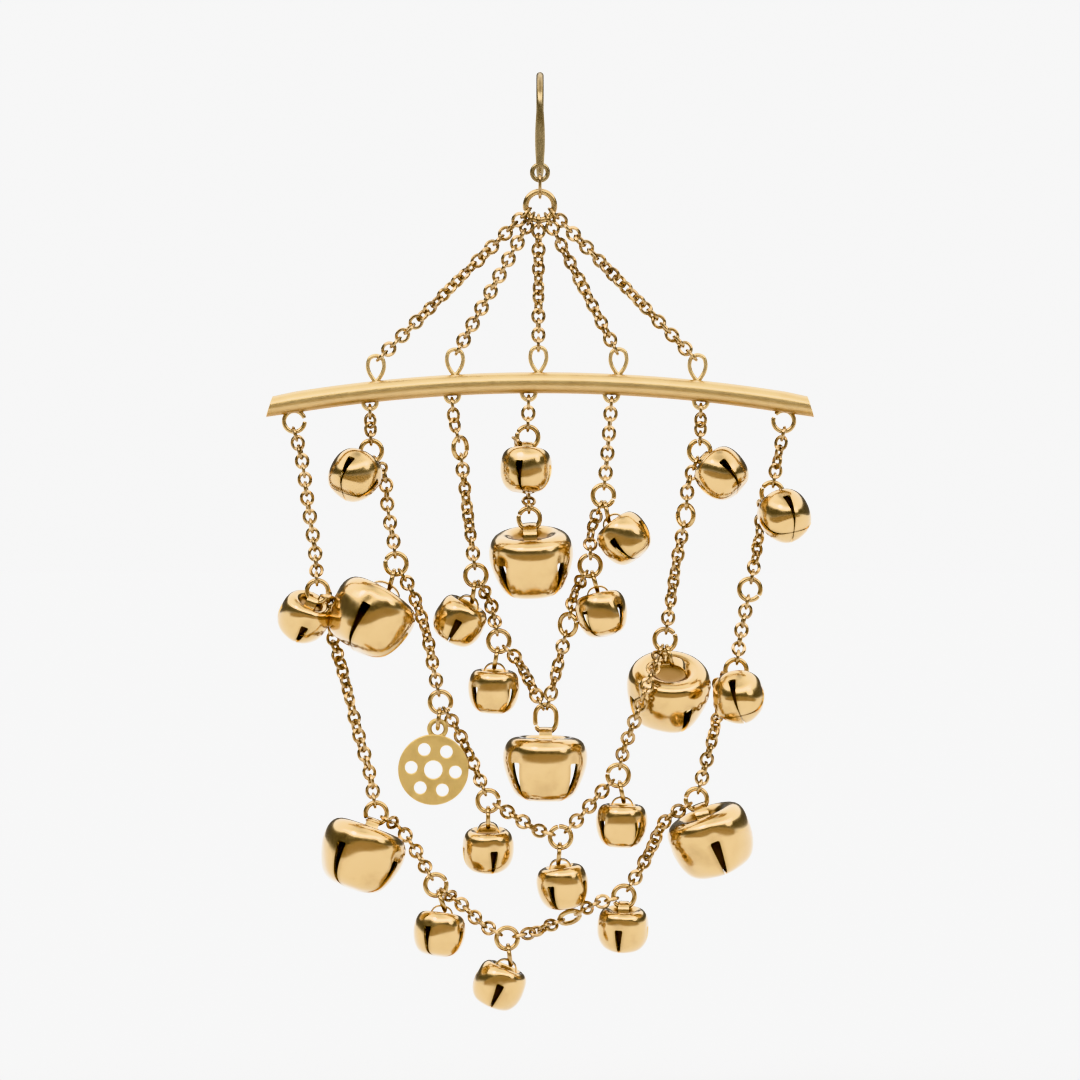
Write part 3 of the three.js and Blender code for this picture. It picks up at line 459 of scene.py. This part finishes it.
# chosen points of the chains below the bar, from the bar's middle: x to the right, z up and back
# away from the viewer; a ring's row is its middle, and a plain ring carries nothing. In degrees,
# twist turns a ring about the upright and tip turns it about its chain
routes = dict(
    outer=[
        dict(x=-0.0290, z=-0.0090),
        dict(x=-0.0282, z=-0.0147),
        dict(x=-0.0273, z=-0.0209),
        dict(x=-0.0270, z=-0.0253, back=-0.0016, ring="o1"),
        dict(x=-0.0254, z=-0.0262, back=0.0013),
        dict(x=-0.0254, z=-0.0284, back=0.0027),
        dict(x=-0.0252, z=-0.0310, back=0.0026),
        dict(x=-0.0241, z=-0.0347, back=0.0008),
        dict(x=-0.0223, z=-0.0418),
        dict(x=-0.0207, z=-0.0475),
        dict(x=-0.0199, z=-0.0523, ring="o2"),
        dict(x=-0.0172, z=-0.0540, back=0.0018),
        dict(x=-0.0155, z=-0.0563, back=0.0016),
        dict(x=-0.01265, z=-0.0610, back=-0.0006, ring="o3"),
        dict(x=-0.0096, z=-0.0634, back=0.0018),
        dict(x=-0.0070, z=-0.0658, back=0.0010),
        dict(x=-0.0040, z=-0.0675, ring="o4"),
        dict(x=-0.0006, z=-0.0667),
        dict(x=0.0036, z=-0.0650, back=0.0017, ring="plain", tip=58),
        dict(x=0.0070, z=-0.0632),
        dict(x=0.0102, z=-0.0624, ring="o6"),
        dict(x=0.0120, z=-0.0594),
        dict(x=0.0136, z=-0.0564),
        dict(x=0.0152, z=-0.0532, back=-0.0008),
        dict(x=0.0190, z=-0.0506, ring="o7"),
        dict(x=0.0200, z=-0.0468),
        dict(x=0.0211, z=-0.0426),
        dict(x=0.0219, z=-0.0388, back=0.0026),
        dict(x=0.0218, z=-0.0364, back=0.0020),
        dict(x=0.0238, z=-0.0349, back=-0.0010, ring="o8"),
        dict(x=0.0244, z=-0.0305),
        dict(x=0.0255, z=-0.0251, ring="plain"),
        dict(x=0.0262, z=-0.0212, back=0.0008),
        dict(x=0.0268, z=-0.0176, back=0.0025),
        dict(x=0.0268, z=-0.0154, back=0.0021),
        dict(x=0.0282, z=-0.0134, ring="o10"),
        dict(x=0.0288, z=-0.0096),
    ],
    middle=[
        dict(x=-0.0206, z=-0.0056),
        dict(x=-0.0205, z=-0.0083, ring="m1"),
        dict(x=-0.0189, z=-0.0114, back=0.0016),
        dict(x=-0.0185, z=-0.0154, back=0.0008),
        dict(x=-0.0178, z=-0.0193),
        dict(x=-0.0175, z=-0.0220, ring="m2"),
        dict(x=-0.0155, z=-0.0255),
        dict(x=-0.0139, z=-0.0301),
        dict(x=-0.0128, z=-0.0354),
        dict(x=-0.0121, z=-0.0388, ring="m3"),
        dict(x=-0.0100, z=-0.0423, back=0.0012),
        dict(x=-0.0089, z=-0.0446, back=0.0017),
        dict(x=-0.0079, z=-0.0468, back=0.0013),
        dict(x=-0.0063, z=-0.0508, ring="m4"),
        dict(x=-0.0035, z=-0.0524),
        dict(x=-0.0004, z=-0.0543),
        dict(x=0.0025, z=-0.0552, ring="m5"),
        dict(x=0.0052, z=-0.0524),
        dict(x=0.0073, z=-0.0499),
        dict(x=0.0095, z=-0.0477, ring="m6"),
        dict(x=0.0101, z=-0.0448, back=-0.0008),
        dict(x=0.0119, z=-0.0398, back=-0.0031),
        dict(x=0.0135, z=-0.0352, back=-0.0032),
        dict(x=0.0152, z=-0.0312, ring="m7"),
        dict(x=0.0158, z=-0.0270),
        dict(x=0.0165, z=-0.0224),
        dict(x=0.0177, z=-0.0161, ring="plain", twist=-45),
        dict(x=0.0180, z=-0.0124),
        dict(x=0.0194, z=-0.0083, ring="m9"),
        dict(x=0.0195, z=-0.0056),
    ],
    inner=[
        dict(x=-0.0104, z=-0.0049),
        dict(x=-0.0097, z=-0.0079, ring="plain", twist=55),
        dict(x=-0.0092, z=-0.0123),
        dict(x=-0.0086, z=-0.0173),
        dict(x=-0.0078, z=-0.0234, ring="i2"),
        dict(x=-0.0060, z=-0.0269, back=0.0017),
        dict(x=-0.0050, z=-0.0314, ring="i3"),
        dict(x=-0.0029, z=-0.0335, back=0.0003),
        dict(x=-0.0010, z=-0.0369, back=0.0002),
        dict(x=0.0007, z=-0.0408, ring="i4", oval=True),
        dict(x=0.0021, z=-0.0347),
        dict(x=0.0034, z=-0.0294, back=0.0006, ring="plain", twist=-42),
        dict(x=0.0043, z=-0.0253, back=0.0018),
        dict(x=0.0061, z=-0.0222, ring="i6"),
        dict(x=0.0062, z=-0.0182, back=0.0014),
        dict(x=0.0077, z=-0.0137, ring="i7"),
        dict(x=0.0081, z=-0.0096),
        dict(x=0.0084, z=-0.0059),
    ],
    centre=[
        dict(x=-0.0015, z=-0.0066, ring="c1"),
        dict(x=-0.0028, z=-0.0071, back=0.0022),
        dict(x=-0.0021, z=-0.0089, back=0.0035),
        dict(x=-0.0017, z=-0.0112, back=0.0036),
        dict(x=-0.0014, z=-0.0138, back=0.0019),
        dict(x=-0.0013, z=-0.0165, ring="c2"),
    ],
)

# what hangs from each ring: jump is the jump ring's lean where there is one, roll the lean to the
# left, pitch the top's lean to the viewer and turn the place of the slots
pendants = [
    dict(name="small_bell_01", size="small", ring="m1", roll=34, pitch=-28, turn=-28),
    dict(name="small_bell_02", size="small", ring="c1", roll=3, pitch=-12, turn=-16),
    dict(name="small_bell_03", size="small", ring="i7", jump=12, roll=-37, pitch=-8, turn=-26),
    dict(name="small_bell_04", size="small", ring="m9", roll=-44, pitch=-16, turn=20),
    dict(name="small_bell_05", size="small", ring="o10", roll=-28, pitch=-40, turn=24),
    dict(name="small_bell_06", size="small", ring="o1", roll=28, pitch=28, turn=14),
    dict(name="small_bell_07", size="small", ring="i2", jump=-8, roll=29, pitch=8, turn=0),
    dict(name="small_bell_08", size="small", ring="i3", jump=-10, roll=3, pitch=5, turn=42),
    dict(name="small_bell_09", size="small", ring="i6", jump=16, roll=-12, pitch=-6, turn=-42),
    dict(name="small_bell_10", size="small", ring="o8", roll=-5, pitch=-38, turn=-13),
    dict(name="small_bell_11", size="small", ring="m4", jump=0, roll=0, pitch=13, turn=14),
    dict(name="small_bell_12", size="small", ring="m5", jump=-5, roll=-8, pitch=6, turn=-28),
    dict(name="small_bell_13", size="small", ring="m6", jump=12, roll=2, pitch=3, turn=40),
    dict(name="small_bell_14", size="small", ring="o3", jump=20, roll=8, pitch=-6, turn=-28),
    dict(name="small_bell_15", size="small", ring="o4", jump=8, roll=23, pitch=5, turn=3),
    dict(name="small_bell_16", size="small", ring="o6", roll=2, pitch=12, turn=-10),
    dict(name="big_bell_1", size="big", ring="c2", roll=-3, pitch=16, turn=45),
    dict(name="big_bell_2", size="big", ring="m2", jump=-15, roll=31, pitch=-10, turn=-14),
    dict(name="big_bell_3", size="big", ring="i4", roll=1, pitch=3, turn=45),
    dict(name="big_bell_4", size="big", ring="m7", jump=16, roll=4, pitch=34, turn=30),
    dict(name="big_bell_5", size="big", ring="o2", roll=20, pitch=-4, turn=-32),
    dict(name="big_bell_6", size="big", ring="o7", roll=-21, pitch=9, turn=2),
    dict(name="disc_charm", ring="m3", jump=-6, roll=6, pitch=0),
]
ringRows = {row["ring"]: row for route in routes.values() for row in route if "ring" in row}


def pointOf(row):
    return barCentre + vec(row["x"], row.get("back", 0), row["z"])


def ringEdge(row, target):
    toward = target - pointOf(row)
    toward[1] = 0
    toward = unit(toward)
    edge = toward * (ring["outside"] - ring["wire"]) / 2
    if row.get("oval"):
        edge[2] += math.copysign(ring["oval"] / 2, toward[2])
    return pointOf(row) + edge


def leaning(angle):
    # the way a piece hangs that leans by an angle, down and to the left where it is positive
    return vec(-math.sin(angle), 0, -math.cos(angle))


cadRingInside, cadJumpInside = ring["outside"] - 2 * ring["cadWire"], jump["cadOutside"] - 2 * jump["cadWire"]
cadJumpDrop = (cadRingInside + cadJumpInside) / 2 + jump["bite"]
jumpDrop = cadJumpDrop + (jump["cadOutside"] - jump["outside"]) / 2


def swag(name, node, route, start, end):
    runs, rings = [], []
    points, wire = ([start[0]], start[1]) if start else ([], 0)
    for i, row in enumerate(route):
        if "ring" not in row:
            points.append(pointOf(row))
            continue
        if points:
            runs += chainRun(points + [ringEdge(row, points[-1])], wire, ring["wire"])
        gapPlace = chance.choice(ring["gapPlaces"]) + chance.uniform(-ring["gapSway"], ring["gapSway"])
        oval = ring["oval"] if row.get("oval") else 0
        shape = wireRing(ring["outside"], ring["wire"], oval, ring["gap"], math.radians(gapPlace))
        twist = math.radians(row.get("twist", 0)) + chance.uniform(-ring["twistSway"], ring["twistSway"])
        shape = turned(shape, up, twist)
        if "tip" in row:
            along = pointOf(route[i + 1]) - pointOf(route[i - 1])
            along[1] = 0
            shape = turned(shape, unit(along), math.radians(row["tip"]))
        rings.append(moved(shape, pointOf(row)))
        after = route[i + 1] if i + 1 < len(route) else None
        target = pointOf(after) if after else end[0] if end else None
        points, wire = ([ringEdge(row, target)], ring["wire"]) if target is not None else ([], 0)
    if end:
        runs += chainRun(points + [end[0]], wire, end[1])
    for hung in pendants:
        if "jump" in hung and any(row.get("ring") == hung["ring"] for row in route):
            lean = math.radians(hung["jump"])
            shape = wireRing(jump["outside"], jump["wire"], gap=ring["gap"], gapAt=jump["gapAt"])
            shape = turned(turned(shape, up, math.pi / 2), toViewer, lean)
            rings.append(moved(shape, pointOf(ringRows[hung["ring"]]) + leaning(-lean) * jumpDrop))
    piece(name + "Chain", merged(runs), [metal["chainBrass"]], "drop", [node])
    piece(name + "Rings", merged(rings), [metal["ringBrass"]], "drop")


def loopHolder(place):
    x = loops[place] * bar["span"]
    return barCentre + vec(x, 0, loopCentre(x) - (bar["loopWidth"] - bar["loopWire"]) / 2), bar["loopWire"]


def endRingHolder(place):
    x = endRings[place] * bar["span"]
    drop = (bar["endRing"] - bar["endRingWire"]) / 2
    return barCentre + vec(x, 0, endRingCentre(x) - drop), bar["endRingWire"]


swag("outerSwag", "swag_outer", routes["outer"], endRingHolder("outerLeft"), endRingHolder("outerRight"))
swag("middleSwag", "swag_middle", routes["middle"], loopHolder("middleLeft"), loopHolder("middleRight"))
swag("innerSwag", "swag_inner", routes["inner"], loopHolder("innerLeft"), loopHolder("innerRight"))
swag("centre", "centre_chain", routes["centre"], loopHolder("centre"), None)
print("chains made")


bells = dict(
    small=dict(across=0.0063, tall=0.0053, arch=0.0010, span=0.0030, slotWide=0.00095, bailWide=0.0013,
               dent=0.0001, square=2.35, pellet=0.0034),
    big=dict(across=0.0103, tall=0.0079, arch=0.00125, span=0.0044, slotWide=0.0012, bailWide=0.0016,
             dent=0.00015, square=2.7, pellet=0.0056),
)
bellMake = dict(wall=0.0003, slotNarrow=0.00007, slotTop=0.37, recess=0.13, bailThick=0.00026,
                bailGap=0.0005, bailSettle=0.0003, bailBend=0.8, squareFrom=0.38, squareTo=0.9,
                upperRows=17, lowerRows=16, petalSteps=11, pelletRest=1.6, pelletPole=0.06)
# the slots' rounded tops, with rows and widths as shares of the slots' width, how fast they narrow,
# the widest angles above and below their top, and the room that they leave at the pole
slotMake = dict(topRows=(0.12, 0.3), fullRow=0.55, topWidths=(0.72, 0.93), taper=1.6, most=(0.5, 0.72),
                poleRoom=1.65)
# the dent above each slot as shares of the slot's width, and each dent's depth as a share
dentMake = dict(across=0.75, above=0.35, tall=0.85, depths=(0.6, 1.3))
# how much painted shade falls by the slots, above them, in the top recess and on the bail
paintedShadeMake = dict(slotReach=0.00015, aboveSlot=0.6, bySlot=0.4, recess=0.95, recessTo=0.53, recessFade=0.08,
                 bail=0.1)
# the bells' outlines as shares of radius and height, from the recess in the top to the pole
bells["small"]["outline"] = [
    (0, 0.13), (0.25, 0.128), (0.4, 0.115), (0.5, 0.06), (0.6, 0.01), (0.74, 0.015), (0.88, 0.09),
    (0.97, 0.22), (1, 0.37), (0.98, 0.53), (0.915, 0.68), (0.8, 0.825), (0.64, 0.93), (0.44, 0.98),
    (0.2, 0.997), (0, 1)]
bells["big"]["outline"] = [
    (0, 0.13), (0.25, 0.128), (0.38, 0.115), (0.46, 0.06), (0.56, 0.008), (0.72, 0.01), (0.87, 0.06),
    (0.97, 0.17), (1, 0.3), (0.985, 0.43), (0.92, 0.58), (0.82, 0.74), (0.69, 0.88), (0.51, 0.96),
    (0.25, 0.993), (0, 1)]


def bellRows(spec):
    # rows from the recess to the pole: radius, height, distance past the slots' top and its share
    radius, tall, wide = spec["across"] / 2, spec["tall"], spec["slotWide"]
    outline = smoothPath([vec(out * radius, 0, -down * tall) for out, down in spec["outline"]], 10)
    r, z = outline[:, 0], outline[:, 2]
    along = np.concatenate([[0], np.cumsum(np.hypot(np.diff(r), np.diff(z)))])
    slotTop = along[np.argmax(z <= -bellMake["slotTop"] * tall)]
    slotEnd = along[np.where(r > slotMake["poleRoom"] * bellMake["slotNarrow"])[0][-1]]
    upper = np.linspace(along[1] / 2, slotTop, bellMake["upperRows"])
    top = slotTop + np.array(slotMake["topRows"]) * wide
    lower = np.linspace(slotTop + slotMake["fullRow"] * wide, slotEnd, bellMake["lowerRows"])
    rows = np.concatenate([upper, top, lower])
    down = np.clip((rows - slotTop) / (slotEnd - slotTop), 0, 1)
    return np.interp(rows, along, r), np.interp(rows, along, z), rows - slotTop, down


def slotEdges(spec, radii, down):
    # half the slots' width in each row, as a length and as an angle
    first = bellMake["upperRows"]
    half = spec["slotWide"] / 2 * (1 - down)**slotMake["taper"] + bellMake["slotNarrow"] / 2
    half[first - 1:first + 1] *= slotMake["topWidths"]
    edge = np.arcsin(np.clip(half / np.maximum(radii, 1e-9), 0, 0.999))
    return half, np.minimum(edge, np.where(np.arange(len(radii)) < first, *slotMake["most"]))


def bellColumns():
    # columns round the bell from slot to slot: where the quarter starts, the shares of the slot's
    # edge angle and of the quarter that make the column's angle, and whether a slot follows it
    steps = bellMake["petalSteps"]
    petal = [(1 - 2 * j / steps, j / steps, j == steps) for j in range(steps + 1)]
    quarter = [(0, 0, True), (0.5, 0, True)] + petal + [(-0.5, 1, True)]
    return [(start * math.pi / 2, *column) for start in range(4) for column in quarter]


def bellShell(spec):
    # a bell's body that grows square toward the pole, with its dents and its marks of painted shade in the
    # recess and along the slots
    radius, wide, upperRows = spec["across"] / 2, spec["slotWide"], bellMake["upperRows"]
    radii, heights, past, down = bellRows(spec)
    half, edge = slotEdges(spec, radii, down)
    squareSpan = bellMake["squareTo"] - bellMake["squareFrom"]
    share = np.clip((-heights / spec["tall"] - bellMake["squareFrom"]) / squareSpan, 0, 1)
    below = np.arange(len(radii)) >= upperRows // 2
    powers = 2 + (spec["square"] - 2) * share**2 * (3 - 2 * share) * below
    columns = bellColumns()
    dents = chance.uniform(*dentMake["depths"], 4)
    verts, marks = [], []
    for i, power in enumerate(powers):
        near = math.exp(-((past[i] + dentMake["above"] * wide) / (dentMake["tall"] * wide))**2)
        # painted shade in the top recess
        inRecess = np.clip((paintedShadeMake["recessTo"] - radii[i] / radius) / paintedShadeMake["recessFade"], 0, 1)
        recessShade = 0 if below[i] else paintedShadeMake["recess"] * inRecess
        for start, edges, quarters, _ in columns:
            angle = edges * edge[i] + quarters * math.pi / 2
            turn = start + angle
            offSlot = min(angle, math.pi / 2 - angle) * radii[i]
            fall = math.exp(-(offSlot / (dentMake["across"] * wide))**2)
            dent = spec["dent"] * dents[round(turn / (math.pi / 2)) % 4] * fall * near
            fromPetal = angle - math.pi / 4
            rounding = abs(math.cos(fromPetal))**power + abs(math.sin(fromPetal))**power
            out = radii[i] * rounding**(-1 / power) - dent
            verts.append((math.cos(turn) * out, math.sin(turn) * out, heights[i]))
            # painted shade above the slots' tops and along their edges
            slotEdgeShade = fall * near * paintedShadeMake["aboveSlot"]
            if down[i] > 0:
                slotEdgeShade = math.exp(-max(0, offSlot - half[i]) / paintedShadeMake["slotReach"])
            marks.append(min(1, paintedShadeMake["bySlot"] * slotEdgeShade + recessShade))
    m = len(columns)
    faces = []
    for i in range(len(radii) - 1):
        for j, column in enumerate(columns):
            if i >= upperRows - 1 and column[-1]:
                continue
            k = (j + 1) % m
            faces.append((i * m + j, i * m + k, (i + 1) * m + k, (i + 1) * m + j))
    faces.append(tuple(range(m))[::-1])
    return thickened(np.array(verts), faces, bellMake["wall"], marks)


def thickened(verts, faces, wall, marks):
    # gives a skin an inside and a rim, and drops the points no face uses
    used = sorted({i for face in faces for i in face})
    place = {old: new for new, old in enumerate(used)}
    verts = verts[used]
    marks = [marks[i] for i in used]
    faces = [tuple(place[i] for i in face) for face in faces]
    normals = np.zeros_like(verts)
    for face in faces:
        a, b, c, d = (verts[face[int(k * len(face) / 4)]] for k in range(4))
        n = np.cross(c - a, d - b)
        for i in face:
            normals[i] += n / (np.linalg.norm(n) or 1)
    normals /= np.linalg.norm(normals, axis=1, keepdims=True)
    centre = verts.mean(axis=0)
    if np.einsum("ij,ij->i", normals, verts - centre).sum() < 0:
        normals = -normals
        faces = [face[::-1] for face in faces]
    count = len(verts)
    sides = {}
    for face in faces:
        for a, b in zip(face, face[1:] + face[:1]):
            sides[(a, b)] = True
    rim = [(b, a, a + count, b + count) for a, b in sides if (b, a) not in sides]
    inner = [tuple(i + count for i in face[::-1]) for face in faces]
    # the inside is painted near black as shade, the rim pale as a highlight
    kinds = [0] * len(faces) + [1] * len(inner) + [2] * len(rim)
    return (np.vstack([verts, verts - normals * wall]), faces + inner + rim), kinds, marks + marks


def pellet(spec):
    # the loose ball that rests on the bell's bottom
    radius = spec["pellet"] / 2
    rows = np.linspace(bellMake["pelletPole"], math.pi - bellMake["pelletPole"], 13)
    path = np.stack([0 * rows, 0 * rows, -np.cos(rows) * radius], axis=1)
    swell = np.stack([np.sin(rows), np.sin(rows)], axis=1)
    ball = sweep(path, circle(radius, 20), toViewer, swell=swell)
    return moved(ball, (0, 0, radius + bellMake["pelletRest"] * bellMake["wall"] - spec["tall"]))


def bail(spec, turnedAcross):
    floor = spec["arch"] + bellMake["recess"] * spec["tall"] + bellMake["wall"] / 2
    top = bellMake["bailThick"] / 2 - bellMake["bailSettle"]
    turn = np.linspace(0, math.pi, 25)
    bend = bellMake["bailBend"]
    x = np.sign(np.cos(turn)) * abs(np.cos(turn))**bend * (spec["span"] - bellMake["bailThick"]) / 2
    z = -floor + (floor + top) * np.sin(turn)**bend
    path = np.stack([x, 0 * x, z], axis=1)
    part = sweep(path, strip(bellMake["bailThick"], spec["bailWide"]), toViewer)
    return turned(part, up, math.pi / 2) if turnedAcross else part


def hangPoint(hung):
    row = ringRows[hung["ring"]]
    hasJump = "jump" in hung
    down = leaning(-math.radians(hung["jump"])) if hasJump else leaning(math.radians(hung["roll"]))
    centre = pointOf(row)
    if hasJump:
        centre = centre + down * cadJumpDrop
        inside = jump["cadOutside"] / 2 - jump["cadWire"]
    else:
        inside = ring["outside"] / 2 - ring["cadWire"]
        if row.get("oval"):
            centre = centre - up * ring["oval"] / 2
    return centre + down * (inside - bellMake["bailGap"])


def hangIn(part, hung):
    # leans a piece back and to the side, then puts it where it hangs
    part = turned(part, toRight, math.radians(hung["pitch"]))
    part = turned(part, -toViewer, math.radians(hung["roll"]))
    return moved(part, hangPoint(hung))


# the body, the inside and pellet painted near black as shade, the rims painted pale as a highlight
bellFinish = [metal["bellBrass"], metal["bellInsideShade"], metal["bellEdgeHighlight"]]
for hung in pendants:
    if "size" not in hung:
        continue
    spec = bells[hung["size"]]
    shell, kinds, marks = bellShell(spec)
    shell = moved(turned(shell, up, math.radians(hung["turn"])), (0, 0, -spec["arch"]))
    arch = bail(spec, "jump" not in hung)
    ball = moved(pellet(spec), (0, 0, -spec["arch"]))
    whole = hangIn(merged([shell, arch, ball]), hung)
    # the pellet is painted near black as shade, and the bail gets a light even painted shade
    kinds = kinds + [0] * len(arch[1]) + [1] * len(ball[1])
    marks = marks + [paintedShadeMake["bail"]] * len(arch[0]) + [0] * len(ball[0])
    title = hung["name"].title().replace("_", "")
    name = title[0].lower() + title[1:]
    piece(name, whole, bellFinish, "drop", [hung["name"]], kinds, marks=marks)
print("bells made")


disc = dict(across=0.0086, thick=0.0008, holes=6, hole=0.0015, centreHole=0.0022, loop=0.0026,
            loopWire=0.0006, bevel=0.00012)


def piercedDisc():
    curve = bpy.data.curves.new("discOutline", "CURVE")
    curve.dimensions = "2D"
    curve.fill_mode = "BOTH"
    curve.extrude = disc["thick"] / 2 - disc["bevel"]
    curve.bevel_depth = disc["bevel"]
    curve.bevel_resolution = 3
    curve.offset = -disc["bevel"]
    holeRadius = (disc["across"] + disc["centreHole"]) / 4
    circles = [(0, 0, disc["across"] / 2), (0, 0, disc["centreHole"] / 2)]
    for i in range(disc["holes"]):
        turn = 2 * math.pi * (i + 0.5) / disc["holes"]
        circles.append((math.sin(turn) * holeRadius, math.cos(turn) * holeRadius, disc["hole"] / 2))
    for x, y, radius in circles:
        spline = curve.splines.new("POLY")
        points = circle(radius, 72 if radius > disc["centreHole"] else 36) + np.array([x, y])
        spline.points.add(len(points) - 1)
        flat = np.zeros(len(points))
        spline.points.foreach_set("co", np.column_stack([points, flat, flat + 1]).ravel())
        spline.use_cyclic_u = True
    holder = bpy.data.objects.new("discOutline", curve)
    bpy.context.scene.collection.objects.link(holder)
    mesh = bpy.data.meshes.new_from_object(holder.evaluated_get(bpy.context.evaluated_depsgraph_get()))
    verts = np.zeros(len(mesh.vertices) * 3)
    mesh.vertices.foreach_get("co", verts)
    faces = [tuple(face.vertices) for face in mesh.polygons]
    bpy.data.objects.remove(holder)
    bpy.data.meshes.remove(mesh)
    return turned((verts.reshape(-1, 3), faces), toRight, math.pi / 2)


discHung = pendants[-1]
discZ = 2 * disc["loopWire"] - disc["loop"] - disc["across"] / 2
loopShape = moved(wireRing(disc["loop"], disc["loopWire"]), (0, 0, disc["loopWire"] - disc["loop"] / 2))
plate = hangIn(moved(piercedDisc(), (0, 0, discZ)), discHung)
piece("discCharm", plate, [metal["discBrass"]], "drop", ["disc_charm"], sharp=60)
piece("discLoop", hangIn(loopShape, discHung), [metal["discBrass"]], "drop")
print("disc made")


studio = dict(floorBelow=0.012, floorSize=60, shade=(0.8, 0.8, 0.8), frameHeight=0.1315, distance=1.1,
              sideBlend=(-0.5, -0.05))
# the studio's light as shares of height from straight down to straight up, and its strength there:
# behind the earring and on the viewer's side
backLight = [(0.0, 1.3), (0.5, 1.38), (0.545, 1.38), (0.575, 0.2), (0.72, 0.14), (0.79, 2.1), (0.93, 2.1),
             (1.0, 0.8)]
frontLight = [(0.0, 1.3), (0.5, 0.5), (0.56, 0.4), (0.6, 0.16), (0.7, 0.12), (0.76, 1.2), (0.82, 5),
              (0.88, 1.4), (1.0, 0.8)]
# a card between the earring and the viewer that only reflections see
card = dict(wide=1.2, tall=0.085, near=0.17, shade=(0.42, 0.33, 0.22))
middle = (np.array(cadBox[0]) + np.array(cadBox[1])) / 2


def matt(name, shade, specular):
    paint = bpy.data.materials.new(name)
    paint.use_nodes = True
    shader = paint.node_tree.nodes["Principled BSDF"]
    shader.inputs["Base Color"].default_value = (*shade, 1)
    shader.inputs["Roughness"].default_value = 1
    shader.inputs["Specular IOR Level"].default_value = specular
    return paint


floorMesh = bpy.data.meshes.new("floor")
half = studio["floorSize"] / 2
floorZ = cadBox[0][2] - studio["floorBelow"]
floorCorners = [(-half, -half, floorZ), (half, -half, floorZ), (half, half, floorZ), (-half, half, floorZ)]
floorMesh.from_pydata(floorCorners, [], [(0, 1, 2, 3)])
floor = bpy.data.objects.new("floor", floorMesh)
bpy.context.scene.collection.objects.link(floor)
floorMesh.materials.append(matt("floorPaint", studio["shade"], 0))

cardMesh = bpy.data.meshes.new("card")
side, near, top = card["wide"] / 2, -card["near"], floorZ + card["tall"]
cardCorners = [(-side, near, floorZ), (side, near, floorZ), (side, near, top), (-side, near, top)]
cardMesh.from_pydata(cardCorners, [], [(0, 1, 2, 3)])
cardMesh.materials.append(matt("cardPaint", card["shade"], 0.5))
darkCard = bpy.data.objects.new("card", cardMesh)
darkCard.visible_camera = False
darkCard.visible_diffuse = False
darkCard.visible_shadow = False
bpy.context.scene.collection.objects.link(darkCard)

world = bpy.data.worlds.new("studio")
bpy.context.scene.world = world
world.use_nodes = True
nodes, links = world.node_tree.nodes, world.node_tree.links
place = nodes.new("ShaderNodeTexCoord")
split = nodes.new("ShaderNodeSeparateXYZ")
links.new(place.outputs["Generated"], split.inputs["Vector"])


def spread(value, low, high, toLow, toHigh):
    node = nodes.new("ShaderNodeMapRange")
    for socket, number in zip(("From Min", "From Max", "To Min", "To Max"), (low, high, toLow, toHigh)):
        node.inputs[socket].default_value = number
    links.new(value, node.inputs["Value"])
    return node.outputs["Result"]


def bandsOf(rows):
    node = nodes.new("ShaderNodeFloatCurve")
    curve = node.mapping.curves[0]
    brightest = max(value for _, value in rows)
    for _ in range(len(rows) - 2):
        curve.points.new(0.5, 0.5)
    for point, (at, value) in zip(curve.points, rows):
        point.location = (at, value / brightest)
        point.handle_type = "AUTO_CLAMPED"
    node.mapping.update()
    links.new(spread(split.outputs["Z"], -1, 1, 0, 1), node.inputs["Value"])
    return spread(node.outputs["Value"], 0, 1, 0, brightest)


blend = nodes.new("ShaderNodeMix")
links.new(spread(split.outputs["Y"], *studio["sideBlend"], 0, 1), blend.inputs["Factor"])
links.new(bandsOf(frontLight), blend.inputs["A"])
links.new(bandsOf(backLight), blend.inputs["B"])
links.new(blend.outputs["Result"], nodes["Background"].inputs["Strength"])
nodes["Background"].inputs["Color"].default_value = (1, 1, 1, 1)

lamps = dict(
    key=dict(place=(-0.5, -0.7, 0.8), strength=0.5, softness=14),
    fill=dict(place=(0.8, -0.5, 0.5), strength=0.25, softness=20),
)
for name, lamp in lamps.items():
    data = bpy.data.lights.new(name, "SUN")
    data.angle = math.radians(lamp["softness"])
    data.energy = lamp["strength"]
    obj = bpy.data.objects.new(name, data)
    obj.location = middle + np.array(lamp["place"])
    obj.rotation_euler = (-Vector(lamp["place"])).to_track_quat("-Z", "Y").to_euler()
    bpy.context.scene.collection.objects.link(obj)
bpy.context.scene.view_settings.view_transform = "Khronos PBR Neutral"

camera = bpy.data.cameras.new("camera")
camera.sensor_width = 36
camera.lens = camera.sensor_width * studio["distance"] / studio["frameHeight"]
camera.clip_start, camera.clip_end = 0.01, 20
viewer = bpy.data.objects.new("camera", camera)
viewer.location = (0, middle[1] - studio["distance"], middle[2])
viewer.rotation_euler = (math.pi / 2, 0, 0)
bpy.context.scene.collection.objects.link(viewer)
bpy.context.scene.camera = viewer
print("floor, light and camera set")
